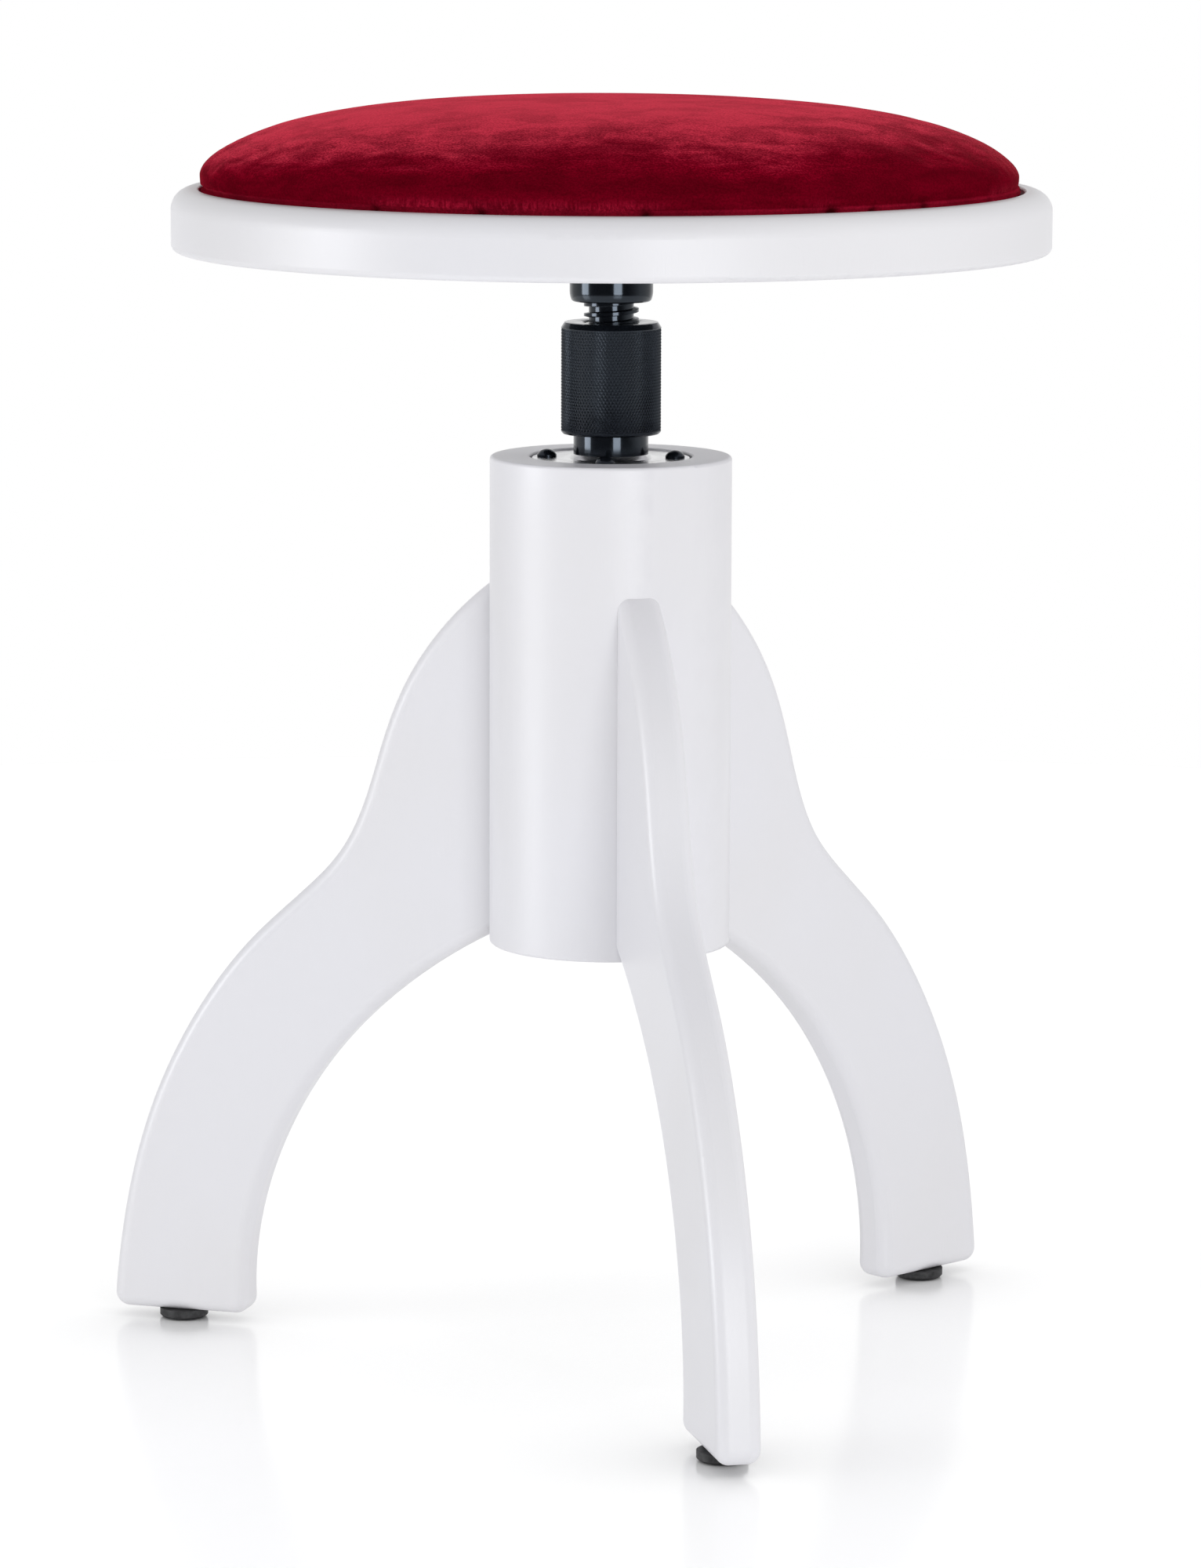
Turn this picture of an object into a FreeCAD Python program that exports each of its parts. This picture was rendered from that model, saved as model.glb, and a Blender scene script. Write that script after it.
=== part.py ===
import FreeCAD, Part
import math
import os
import Sketcher
from FreeCAD import Placement, Rotation, Vector
from types import SimpleNamespace

# A three-legged piano stool whose round seat turns on a screw spindle.
# The origin is on the floor at the stool's axis, +Z is up and the front leg points to -Y.
# The seat stands almost at its lowest, with the lock sleeve screwed down on the tube.
# Base: a turned column with three flat curved legs, a steel tube and its fixed nut.
# Seat: a white disc with a domed cushion in its rebate, on a hub, a plate and the spindle.

# The driving dimensions, in millimetres, with degrees for a turn and plain counts.
DIMENSIONS = {
    # legs and glides
    "leg_turn": 30,
    "leg_reach": 212.7,
    "leg_rise": 314.3,
    "leg_thickness": 17.6,
    "leg_edge_radius": 5.2,
    "foot_corner_radius": 6,
    "glide_height": 4.2,
    "glide_diameter": 20,
    "glide_foot_diameter": 15,
    "glide_rim_height": 1.4,
    "glide_recess_diameter": 8.4,
    "glide_recess_depth": 2.2,
    "nail_diameter": 2.6,
    "nail_head_diameter": 6.4,
    "nail_head_height": 1,
    "nail_length": 20,
    # leg dowels
    "dowel_diameter": 10,
    "dowel_length": 40,
    "dowel_end_gap": 1,
    # column
    "column_bottom": 168.5,
    "column_height": 197.5,
    "column_diameter": 97,
    "column_edge_radius": 1.4,
    # flange plate and its screws
    "socket_diameter": 65,
    "socket_rim_radius": 0.8,
    "flange_diameter": 63,
    "flange_thickness": 4,
    "flange_drop": 0.8,
    "weld_size": 1.6,
    "flange_turn": 71.4,
    "flange_screw_count": 4,
    "flange_screw_circle_radius": 25.7,
    "flange_screw_diameter": 4,
    "flange_screw_length": 24,
    "flange_screw_head_diameter": 7.8,
    "flange_screw_head_height": 3.2,
    # tube, nut and lock sleeve
    "tube_diameter": 30,
    "tube_wall": 2,
    "tube_rise": 35,
    "tube_length": 180,
    "tube_side_gap": 0.6,
    "tube_end_gap": 4,
    "nut_length": 30,
    "nut_collar_height": 2,
    "nut_collar_inset": 0.4,
    "lock_washer_height": 1.5,
    "sleeve_diameter": 40,
    "sleeve_height": 44.5,
    "sleeve_thread_length": 15,
    "sleeve_side_gap": 0.35,
    "sleeve_top_chamfer_width": 1.3,
    "sleeve_top_chamfer_height": 2.1,
    "sleeve_bottom_chamfer": 0.7,
    # spindle
    "thread_diameter": 22,
    "thread_depth": 2,
    "thread_pitch": 4,
    "thread_crest": 1.2,
    "thread_root": 2.3,
    "thread_overlap": 0.3,
    "thread_gap": 0.2,
    "thread_flank_gap": 0.15,
    "thread_shown": 8.4,
    "travel_up": 100,
    "travel_end_gap": 0.5,
    "shank_diameter": 16,
    "shank_end_gap": 0.3,
    "journal_diameter": 12,
    "journal_gap": 0.05,
    "bush_height": 14,
    "bush_side_gap": 0.15,
    "end_washer_diameter": 20,
    "end_washer_height": 2,
    "end_screw_diameter": 6,
    "end_screw_length": 14,
    "end_screw_head_diameter": 11,
    "end_screw_head_height": 4,
    # hub, plate and their screws
    "hub_diameter": 33.4,
    "hub_height": 16.4,
    "hub_nose_height": 4,
    "hub_nose_inset": 0.7,
    "hub_edge_chamfer": 0.5,
    "plate_diameter": 130,
    "plate_thickness": 4,
    "plate_edge_radius": 0.8,
    "plate_screw_count": 4,
    "plate_screw_turn": 45,
    "plate_screw_circle_radius": 52,
    "plate_screw_diameter": 5,
    "plate_screw_length": 16,
    "plate_screw_head_diameter": 9.5,
    "plate_screw_head_height": 2.8,
    "hub_bolt_diameter": 8,
    "hub_bolt_length": 22,
    "hub_bolt_head_diameter": 13,
    "hub_bolt_head_height": 8,
    "hub_washer_diameter": 24,
    "hub_washer_height": 2,
    "pocket_gap": 2,
    # seat disc
    "seat_diameter": 350,
    "seat_height": 24.4,
    "seat_top_radius": 8,
    "seat_bottom_radius": 2.6,
    "rebate_diameter": 327.8,
    "rebate_depth": 6.4,
    "rebate_edge_radius": 0.8,
    # cushion
    "cushion_diameter": 326,
    "crown_height": 34,
    "waist_rise": 0.4,
    "waist_inset": 0.7,
    "cover_thickness": 1.5,
    "cover_hem_width": 22,
    "foam_gap": 0.3,
    "board_thickness": 6,
    "cushion_screw_count": 4,
    "cushion_screw_turn": 90,
    "cushion_screw_circle_radius": 115,
    "cushion_screw_diameter": 4.5,
    "cushion_screw_grip": 4,
    "cushion_screw_head_diameter": 9,
    "cushion_screw_head_height": 2.4,
    "cushion_screw_sink": 0.8,
    # shared
    "fit_gap": 0.05,
    "overrun": 5,
}

# The legs in order of their turn, each a third of a turn after the one before.
LEG_SIDES = ["right", "left", "front"]

# A leg's outer edge, from the foot up to the column, and its inner edge back down.
# Each pair is a share of leg_rise above the glide and a share of leg_reach.
LEG_OUTER_SHARES = [
    (0.135, 0.976), (0.270, 0.923), (0.405, 0.825), (0.507, 0.709), (0.574, 0.603),
    (0.628, 0.530), (0.695, 0.482), (0.777, 0.444), (0.850, 0.400), (0.918, 0.333),
]
LEG_INNER_SHARES = [(0.462, 0.383), (0.365, 0.536), (0.243, 0.651), (0.121, 0.710)]
LEG_HEEL_SHARE = 0.720
GLIDE_CIRCLE_SHARE = 0.865
LEG_TOP_SHARE = 0.200
LEG_CROTCH_SHARE = 0.537

# Where the dowels of a leg sit, as shares of the column's height.
DOWEL_LEVEL_SHARES = [0.16, 0.37, 0.58]

# The crown's height is H (1 - r^side)^(1/crown) where r, a share of its radius, falls to 0.
CROWN_EXPONENT = 1.65
SIDE_EXPONENT = 3.27
CROWN_STEPS = 9

# The point that a rounded edge passes, as shares of its width and its height.
GLIDE_RIM_SHARES = (0.55, 0.28)
HUB_NOSE_SHARES = (0.75, 0.5)

# How much of a domed screw's head is its upright side.
SCREW_SIDE_SHARE = 0.3

FULL_TURN = 360
MATCH = 1e-4

document = FreeCAD.newDocument("piano_stool")
bodies = []


class Size:
    """A size worked out from the sheet: its value now and the expression that binds it."""

    def __init__(self, value, text):
        self.value = value
        self.text = text

    def joined(self, sign, other, value):
        text = other.text if isinstance(other, Size) else repr(other)
        return Size(value, f"({self.text} {sign} {text})")

    def __add__(self, other):
        return self.joined("+", other, self.value + plain(other))

    def __sub__(self, other):
        return self.joined("-", other, self.value - plain(other))

    def __mul__(self, other):
        return self.joined("*", other, self.value * plain(other))

    def __truediv__(self, other):
        return self.joined("/", other, self.value / plain(other))

    def whole(self):
        return Size(math.floor(self.value), f"floor({self.text})")


def plain(size):
    return size.value if isinstance(size, Size) else size


def make_sheet():
    """Fill the spreadsheet and give back its sizes by name."""
    sheet = document.addObject("Spreadsheet::Sheet", "Sizes")
    for row, (name, number) in enumerate(DIMENSIONS.items(), start=1):
        sheet.set(f"A{row}", name)
        sheet.set(f"B{row}", str(number))
        sheet.setAlias(f"B{row}", name)
    document.recompute()
    sizes = {name: Size(sheet.get(name), f"Sizes.{name}") for name in DIMENSIONS}
    return SimpleNamespace(**sizes)


def bind(thing, name, size):
    """Set a property and bind it to the sheet."""
    setattr(thing, name, plain(size))
    if isinstance(size, Size):
        thing.setExpression(name, size.text)


def new_body(label):
    body = document.addObject("PartDesign::Body", label)
    body.Label = label
    body.AllowCompound = True
    bodies.append(body)
    return body


def add_feature(body, kind, name, **properties):
    feature = body.newObject(f"PartDesign::{kind}", name)
    for key, value in properties.items():
        bind(feature, key, value)
    return feature


def origin_part(body, role):
    return [part for part in body.Origin.OriginFeatures if part.Role == role][0]


def turn_about_axis(body, angle):
    """Turn a sub-part about the stool's axis by a bound angle."""
    body.Placement = Placement(Vector(0, 0, 0), Rotation(Vector(0, 0, 1), plain(angle)))
    body.setExpression("Placement.Rotation.Angle", angle.text)


def new_sketch(body, role, name, level=None, turn=None):
    """A sketch on one of the body's origin planes, lifted or turned when asked."""
    sketch = body.newObject("Sketcher::SketchObject", name)
    sketch.AttachmentSupport = (origin_part(body, role), [""])
    sketch.MapMode = "FlatFace"
    height = plain(level or 0)
    angle = plain(turn or 0)
    sketch.AttachmentOffset = Placement(Vector(0, 0, height), Rotation(Vector(0, 0, 1), angle))
    if level is not None:
        sketch.setExpression("AttachmentOffset.Base.z", level.text)
    if turn is not None:
        sketch.setExpression("AttachmentOffset.Rotation.Angle", turn.text)
    return sketch


def pin_point(sketch, index, end, place):
    """Bind one point of an edge to its two distances from the sketch's origin."""
    for kind, axis, size in (("DistanceX", -2, place[0]), ("DistanceY", -1, place[1])):
        if plain(size) == 0:
            sketch.addConstraint(Sketcher.Constraint("PointOnObject", index, end, axis))
        else:
            rule = Sketcher.Constraint(kind, -1, 1, index, end, plain(size))
            number = sketch.addConstraint(rule)
            sketch.setExpression(f"Constraints[{number}]", size.text)


def flat(place):
    return Vector(plain(place[0]), plain(place[1]), 0)


def edge_between(start, passed, end):
    """A line, an arc through one passed point, or a spline through several."""
    if not passed:
        return Part.LineSegment(start, end)
    if len(passed) == 1:
        return Part.Arc(start, passed[0], end)
    spline = Part.BSplineCurve()
    spline.interpolate([start, *passed, end])
    return spline


def draw_outline(sketch, corners):
    """A closed outline of corners (x, y), each with the points passed on the way to the next."""
    first_edge = sketch.GeometryCount
    ends = []
    for number, corner in enumerate(corners):
        start = flat(corner)
        end = flat(corners[(number + 1) % len(corners)])
        passed = [flat(point) for point in corner[2]] if len(corner) > 2 else []
        index = sketch.addGeometry(edge_between(start, passed, end))
        forward = sketch.getPoint(index, 1).distanceToPoint(start) < MATCH
        ends.append((1, 2) if forward else (2, 1))
    for number, corner in enumerate(corners):
        here = first_edge + number
        following = (number + 1) % len(corners)
        there = first_edge + following
        joint = Sketcher.Constraint("Coincident", here, ends[number][1], there, ends[following][0])
        sketch.addConstraint(joint)
        pin_point(sketch, here, ends[number][0], corner)


def draw_circles(sketch, centres, diameter):
    for centre in centres:
        index = sketch.addGeometry(Part.Circle(flat(centre), Vector(0, 0, 1), plain(diameter) / 2))
        pin_point(sketch, index, 3, centre)
        number = sketch.addConstraint(Sketcher.Constraint("Diameter", index, plain(diameter)))
        sketch.setExpression(f"Constraints[{number}]", diameter.text)


def revolve(body, kind, corners, name, centre=None):
    """Turn a closed outline about the Z axis, or about an upright axis at a distance from it."""
    sketch = new_sketch(body, "XZ_Plane", f"{name}_profile")
    axis = "V_Axis"
    if centre is not None:
        axis = "Axis0"
        corners = [moved_out(corner, centre) for corner in corners]
        foot = Vector(plain(centre), 0, 0)
        line = Part.LineSegment(foot, foot + Vector(0, plain(size.overrun), 0))
        index = sketch.addGeometry(line, True)
        sketch.addConstraint(Sketcher.Constraint("Vertical", index))
        pin_point(sketch, index, 1, (centre, 0))
    draw_outline(sketch, corners)
    return add_feature(body, kind, name, Profile=sketch, ReferenceAxis=(sketch, [axis]), Angle=FULL_TURN)


def moved_out(corner, centre):
    """A corner, with the points passed after it, moved out by the centre's distance."""
    place = (centre + corner[0], corner[1])
    if len(corner) == 2:
        return place
    return (*place, [(centre + point[0], point[1]) for point in corner[2]])


def turned(label, corners):
    """A body turned about the stool's axis from one half outline."""
    body = new_body(label)
    revolve(body, "Revolution", corners, f"{label}_turning")
    return body


def ring(inner, outer, low, high):
    return [(inner, low), (outer, low), (outer, high), (inner, high)]


def repeat_around(body, features, count, name):
    """Repeat features evenly about the Z axis."""
    axis = (origin_part(body, "Z_Axis"), [""])
    add_feature(body, "PolarPattern", name, Originals=features, Axis=axis, Angle=FULL_TURN,
                Occurrences=count)
    body.Tip = body.Group[-1]


def ring_of_pins(label, corners, circle_radius, count, turn):
    """One node of equal turned pins, such as screws, standing in a circle."""
    body = new_body(label)
    pin = revolve(body, "Revolution", corners, f"{label}_turning", circle_radius)
    repeat_around(body, [pin], count, f"{label}_circle")
    turn_about_axis(body, turn)
    return body


def bore_ring(body, name, diameter, circle_radius, count, low, high, turn=None):
    """Cut a circle of upright holes between two levels."""
    sketch = new_sketch(body, "XY_Plane", f"{name}_centre", high, turn)
    draw_circles(sketch, [(circle_radius, 0)], diameter)
    pocket = add_feature(body, "Pocket", name, Profile=sketch, Length=high - low)
    repeat_around(body, [pocket], count, f"{name}_circle")


def edge_names(shape, wanted):
    return [f"Edge{number}" for number, edge in enumerate(shape.Edges, start=1) if wanted(edge)]


def circles_at(shape, radius, level):
    """Names of the circles of one radius at one level about the stool's axis."""
    def wanted(edge):
        if not isinstance(edge.Curve, Part.Circle):
            return False
        same_radius = abs(edge.Curve.Radius - plain(radius)) < MATCH
        return same_radius and abs(edge.Curve.Center.z - plain(level)) < MATCH
    return edge_names(shape, wanted)


def round_edges(body, name, radius, names):
    before = body.Tip
    add_feature(body, "Fillet", name, Base=(before, names), Radius=radius)
    document.recompute()


def round_circles(body, name, radius, places):
    document.recompute()
    shape = body.Tip.Shape
    names = [name for place in places for name in circles_at(shape, *place)]
    round_edges(body, name, radius, names)


def tooth(inner, outer, crest, root, centre):
    """A thread tooth from the side: crest is its width outside and root its width inside."""
    return [
        (inner, centre - root / 2),
        (outer, centre - crest / 2),
        (outer, centre + crest / 2),
        (inner, centre + root / 2),
    ]


def wind_thread(body, kind, corners, height, name):
    """A right-hand ridge or groove of one start, wound upwards from its tooth."""
    sketch = new_sketch(body, "XZ_Plane", f"{name}_tooth")
    draw_outline(sketch, corners)
    add_feature(body, kind, name, Profile=sketch, ReferenceAxis=(sketch, ["V_Axis"]), Mode=0,
                Pitch=size.thread_pitch, Height=height, LeftHanded=False)


def cut_inner_thread(body, low, high, name):
    """The groove that the spindle's ridge runs in, in step with it and with a gap all round."""
    turns = (low - thread_start) / size.thread_pitch
    centre = thread_start + size.thread_pitch * turns.whole() - size.thread_pitch
    corners = tooth(
        thread_root_radius - size.thread_overlap,
        thread_radius + size.thread_gap,
        size.thread_crest + size.thread_flank_gap * 2,
        size.thread_root + size.thread_flank_gap * 2,
        centre,
    )
    wind_thread(body, "SubtractiveHelix", corners, high - centre + size.thread_pitch, name)


def crown(radius, height, waist):
    """Points of the cushion's crown between its waist and its top."""
    points = []
    for step in range(1, CROWN_STEPS):
        radius_share = math.cos(math.pi / 2 * step / CROWN_STEPS)
        height_share = (1 - radius_share ** SIDE_EXPONENT) ** (1 / CROWN_EXPONENT)
        points.append((radius * radius_share, waist + height * height_share))
    return points


def passed_point(start, end, shares):
    """A point between two corners, at shares of the way across and of the way up."""
    across, up = shares
    return ((end[0] - start[0]) * across + start[0], (end[1] - start[1]) * up + start[1])


def make_leg(number, side):
    """A flat curved leg, shaped in the XZ plane, cut to the column and turned to its place."""
    label = f"leg_{side}"
    body = new_body(label)

    def place(rise_share, reach_share):
        return (size.leg_reach * reach_share, size.glide_height + size.leg_rise * rise_share)

    heel = (size.leg_reach * LEG_HEEL_SHARE, size.glide_height)
    toe = (size.leg_reach, size.glide_height)
    top = place(1, LEG_TOP_SHARE)
    crotch = place(LEG_CROTCH_SHARE, LEG_TOP_SHARE)
    outer = [place(*shares) for shares in LEG_OUTER_SHARES]
    inner = [place(*shares) for shares in LEG_INNER_SHARES]
    outline = new_sketch(body, "XZ_Plane", f"{label}_outline")
    draw_outline(outline, [heel, (*toe, outer), top, (*crotch, inner)])
    add_feature(body, "Pad", f"{label}_board", Profile=outline, SideType="Symmetric",
                Length=size.leg_thickness)
    document.recompute()

    def is_foot_corner(edge):
        box = edge.BoundBox
        across = box.XLength < MATCH and box.ZLength < MATCH
        return across and abs(box.ZMin - plain(size.glide_height)) < MATCH

    corners = edge_names(body.Tip.Shape, is_foot_corner)
    round_edges(body, f"{label}_corners", size.foot_corner_radius, corners)

    def is_long_edge(edge):
        box = edge.BoundBox
        return box.YLength < MATCH and box.XMax > plain(top[0]) + MATCH

    long_edges = edge_names(body.Tip.Shape, is_long_edge)
    round_edges(body, f"{label}_rounding", size.leg_edge_radius, long_edges)
    saddle = ring(0, column_radius + size.fit_gap, size.glide_height, column_top + size.overrun)
    revolve(body, "Groove", saddle, f"{label}_saddle")
    holes = new_sketch(body, "YZ_Plane", f"{label}_dowel_centres")
    draw_circles(holes, dowel_centres, size.dowel_diameter + size.fit_gap * 2)
    add_feature(body, "Pocket", f"{label}_dowel_holes", Profile=holes, Reversed=True,
                Length=column_radius + size.dowel_length / 2 + size.dowel_end_gap)
    nail = new_sketch(body, "XY_Plane", f"{label}_nail_centre", size.glide_height)
    draw_circles(nail, [(glide_circle_radius, 0)], size.nail_diameter + size.fit_gap * 2)
    add_feature(body, "Pocket", f"{label}_nail_hole", Profile=nail, Reversed=True,
                Length=size.nail_length)
    turn_about_axis(body, leg_angle(number))


def leg_angle(number):
    return size.leg_turn + FULL_TURN / len(LEG_SIDES) * number


def make_column():
    """The turned column with the tube's bore, the flange's socket and the dowel holes."""
    bore_radius = tube_radius + size.tube_side_gap
    bore_end = tube_bottom - size.tube_end_gap
    corners = [
        (0, size.column_bottom),
        (column_radius, size.column_bottom),
        (column_radius, column_top),
        (socket_radius, column_top),
        (socket_radius, socket_floor),
        (bore_radius, socket_floor),
        (bore_radius, bore_end),
        (0, bore_end),
    ]
    body = turned("column", corners)
    outer_edges = [(column_radius, size.column_bottom), (column_radius, column_top)]
    round_circles(body, "column_edges", size.column_edge_radius, outer_edges)
    round_circles(body, "column_socket_rim", size.socket_rim_radius, [(socket_radius, column_top)])
    holes = new_sketch(body, "YZ_Plane", "column_dowel_centres", dowel_inner - size.dowel_end_gap)
    draw_circles(holes, dowel_centres, size.dowel_diameter + size.fit_gap * 2)
    pocket = add_feature(body, "Pocket", "column_dowel_holes", Profile=holes, Reversed=True,
                         Length=size.dowel_length)
    repeat_around(body, [pocket], len(LEG_SIDES), "column_dowel_circle")
    pilot_end = flange_top - size.flange_screw_length - size.fit_gap
    bore_ring(body, "column_pilots", size.flange_screw_diameter + size.fit_gap * 2,
              size.flange_screw_circle_radius, size.flange_screw_count, pilot_end, socket_floor,
              size.flange_turn - size.leg_turn)
    turn_about_axis(body, size.leg_turn)


def make_dowels():
    """The dowels that hold the legs, each half in the column and half in its leg."""
    body = new_body("leg_dowels")
    centres = new_sketch(body, "YZ_Plane", "leg_dowels_centres", dowel_inner)
    draw_circles(centres, dowel_centres, size.dowel_diameter)
    rods = add_feature(body, "Pad", "leg_dowels_rods", Profile=centres, Length=size.dowel_length)
    repeat_around(body, [rods], len(LEG_SIDES), "leg_dowels_circle")
    turn_about_axis(body, size.leg_turn)


def make_glide(number, side):
    """A plastic glide whose rounded rim stands round the recess of its nail."""
    label = f"glide_{side}"
    body = new_body(label)
    top_radius = size.glide_diameter / 2
    foot_radius = size.glide_foot_diameter / 2
    recess_radius = size.glide_recess_diameter / 2
    hole_radius = size.nail_diameter / 2 + size.fit_gap
    rim_foot = (foot_radius, 0)
    rim_side = (top_radius, size.glide_rim_height)
    corners = [
        (recess_radius, 0),
        (*rim_foot, [passed_point(rim_foot, rim_side, GLIDE_RIM_SHARES)]),
        rim_side,
        (top_radius, size.glide_height),
        (hole_radius, size.glide_height),
        (hole_radius, size.glide_recess_depth),
        (recess_radius, size.glide_recess_depth),
    ]
    revolve(body, "Revolution", corners, f"{label}_turning", glide_circle_radius)
    turn_about_axis(body, leg_angle(number))


def make_nails():
    """The nails that hold the glides, their heads sunk in the glides' recesses."""
    head_radius = size.nail_head_diameter / 2
    shank_radius = size.nail_diameter / 2
    seat = size.glide_recess_depth
    point = seat + size.nail_length
    corners = [
        (0, seat - size.nail_head_height),
        (head_radius, seat - size.nail_head_height),
        (head_radius, seat),
        (shank_radius, seat),
        (shank_radius, point),
        (0, point),
    ]
    ring_of_pins("glide_nails", corners, glide_circle_radius, len(LEG_SIDES), size.leg_turn)


def dome_middle(radius, foot, crest):
    """The point halfway up the arc of a round dome, from its foot's rim to its crest."""
    rise = plain(crest) - plain(foot)
    half_angle = math.atan2(abs(rise), plain(radius))
    across = plain(radius) / (2 * math.cos(half_angle))
    drop = across * math.tan(half_angle / 2)
    return (across, plain(crest) - math.copysign(drop, rise))


def screw_outline(seat, head_radius, head_height, shank_radius, length, up=False):
    """A domed screw whose head lies on the seat level. Up turns its point upwards."""
    side_height = head_height * SCREW_SIDE_SHARE
    if up:
        crest = seat - head_height
        dome_foot = seat - side_height
        tip = seat + length
    else:
        crest = seat + head_height
        dome_foot = seat + side_height
        tip = seat - length
    return [
        (0, tip),
        (shank_radius, tip),
        (shank_radius, seat),
        (head_radius, seat),
        (head_radius, dome_foot, [dome_middle(head_radius, dome_foot, crest)]),
        (0, crest),
    ]


def make_flange():
    """The steel plate in the column's socket, with the weld that holds the tube."""
    hole_radius = tube_radius + size.fit_gap
    corners = [
        (hole_radius, socket_floor),
        (size.flange_diameter / 2, socket_floor),
        (size.flange_diameter / 2, flange_top),
        (hole_radius + size.weld_size, flange_top),
        (hole_radius, flange_top + size.weld_size),
    ]
    body = turned("flange_plate", corners)
    bore_ring(body, "flange_holes", size.flange_screw_diameter + size.fit_gap * 2,
              size.flange_screw_circle_radius, size.flange_screw_count,
              socket_floor - size.overrun, flange_top + size.overrun)
    turn_about_axis(body, size.flange_turn)
    screw = screw_outline(flange_top, size.flange_screw_head_diameter / 2,
                          size.flange_screw_head_height, size.flange_screw_diameter / 2,
                          size.flange_screw_length)
    ring_of_pins("flange_screws", screw, size.flange_screw_circle_radius,
                 size.flange_screw_count, size.flange_turn)


def make_nut():
    """The nut fixed in the top of the tube, with a collar on the tube's end."""
    inner = thread_root_radius + size.thread_gap
    barrel = tube_bore_radius - size.fit_gap
    corners = [
        (inner, nut_bottom),
        (barrel, nut_bottom),
        (barrel, tube_top),
        (collar_radius, tube_top),
        (collar_radius, nut_top),
        (inner, nut_top),
    ]
    body = turned("lift_nut", corners)
    cut_inner_thread(body, nut_bottom, nut_top, "lift_nut_thread")


def make_sleeve():
    """The lock sleeve, threaded above its shoulder and loose on the tube, with its washer."""
    washer_bore = thread_radius + size.sleeve_side_gap
    turned("lock_washer", ring(washer_bore, collar_radius, nut_top, sleeve_shoulder))
    inner = thread_root_radius + size.thread_gap
    skirt = tube_radius + size.sleeve_side_gap
    outer = size.sleeve_diameter / 2
    corners = [
        (skirt, sleeve_bottom),
        (outer - size.sleeve_bottom_chamfer, sleeve_bottom),
        (outer, sleeve_bottom + size.sleeve_bottom_chamfer),
        (outer, sleeve_top - size.sleeve_top_chamfer_height),
        (outer - size.sleeve_top_chamfer_width, sleeve_top),
        (inner, sleeve_top),
        (inner, sleeve_shoulder),
        (skirt, sleeve_shoulder),
    ]
    body = turned("lock_sleeve", corners)
    cut_inner_thread(body, sleeve_shoulder, sleeve_top, "lock_sleeve_thread")


def make_spindle():
    """The screw: a threaded length with a shank above for the hub and a journal below."""
    bolt_hole = size.hub_bolt_diameter / 2 + size.fit_gap
    bolt_hole_end = seat_bottom + size.hub_washer_height - size.hub_bolt_length - size.fit_gap
    screw_hole = size.end_screw_diameter / 2 + size.fit_gap
    screw_hole_end = journal_bottom - size.end_washer_height + size.end_screw_length + size.fit_gap
    shank_top = seat_bottom - size.shank_end_gap
    corners = [
        (screw_hole, journal_bottom),
        (journal_radius, journal_bottom),
        (journal_radius, thread_end),
        (thread_root_radius, thread_end),
        (thread_root_radius, hub_bottom),
        (shank_radius, hub_bottom),
        (shank_radius, shank_top),
        (bolt_hole, shank_top),
        (bolt_hole, bolt_hole_end),
        (0, bolt_hole_end),
        (0, screw_hole_end),
        (screw_hole, screw_hole_end),
    ]
    body = turned("spindle", corners)
    ridge = tooth(thread_root_radius - size.thread_overlap, thread_radius, size.thread_crest,
                  size.thread_root, thread_start)
    wind_thread(body, "AdditiveHelix", ridge, hub_bottom - thread_start + size.thread_pitch,
                "spindle_thread")
    clear = thread_radius + size.overrun
    above = ring(shank_radius, clear, hub_bottom, hub_bottom + size.thread_pitch * 3)
    revolve(body, "Groove", above, "spindle_shoulder")
    below = ring(journal_radius, clear, thread_start - size.thread_pitch, thread_end)
    revolve(body, "Groove", below, "spindle_lower_end")


def make_spindle_end():
    """The bush that guides the spindle in the tube, and the washer and screw below it."""
    turned("guide_bush", ring(journal_radius + size.journal_gap, tube_bore_radius - size.bush_side_gap,
                              bush_bottom, thread_end - size.fit_gap))
    turned("end_washer", ring(size.end_screw_diameter / 2 + size.fit_gap,
                              size.end_washer_diameter / 2, end_washer_bottom, journal_bottom))
    screw = screw_outline(end_washer_bottom, size.end_screw_head_diameter / 2,
                          size.end_screw_head_height, size.end_screw_diameter / 2,
                          size.end_screw_length, up=True)
    turned("end_screw", screw)


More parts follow.
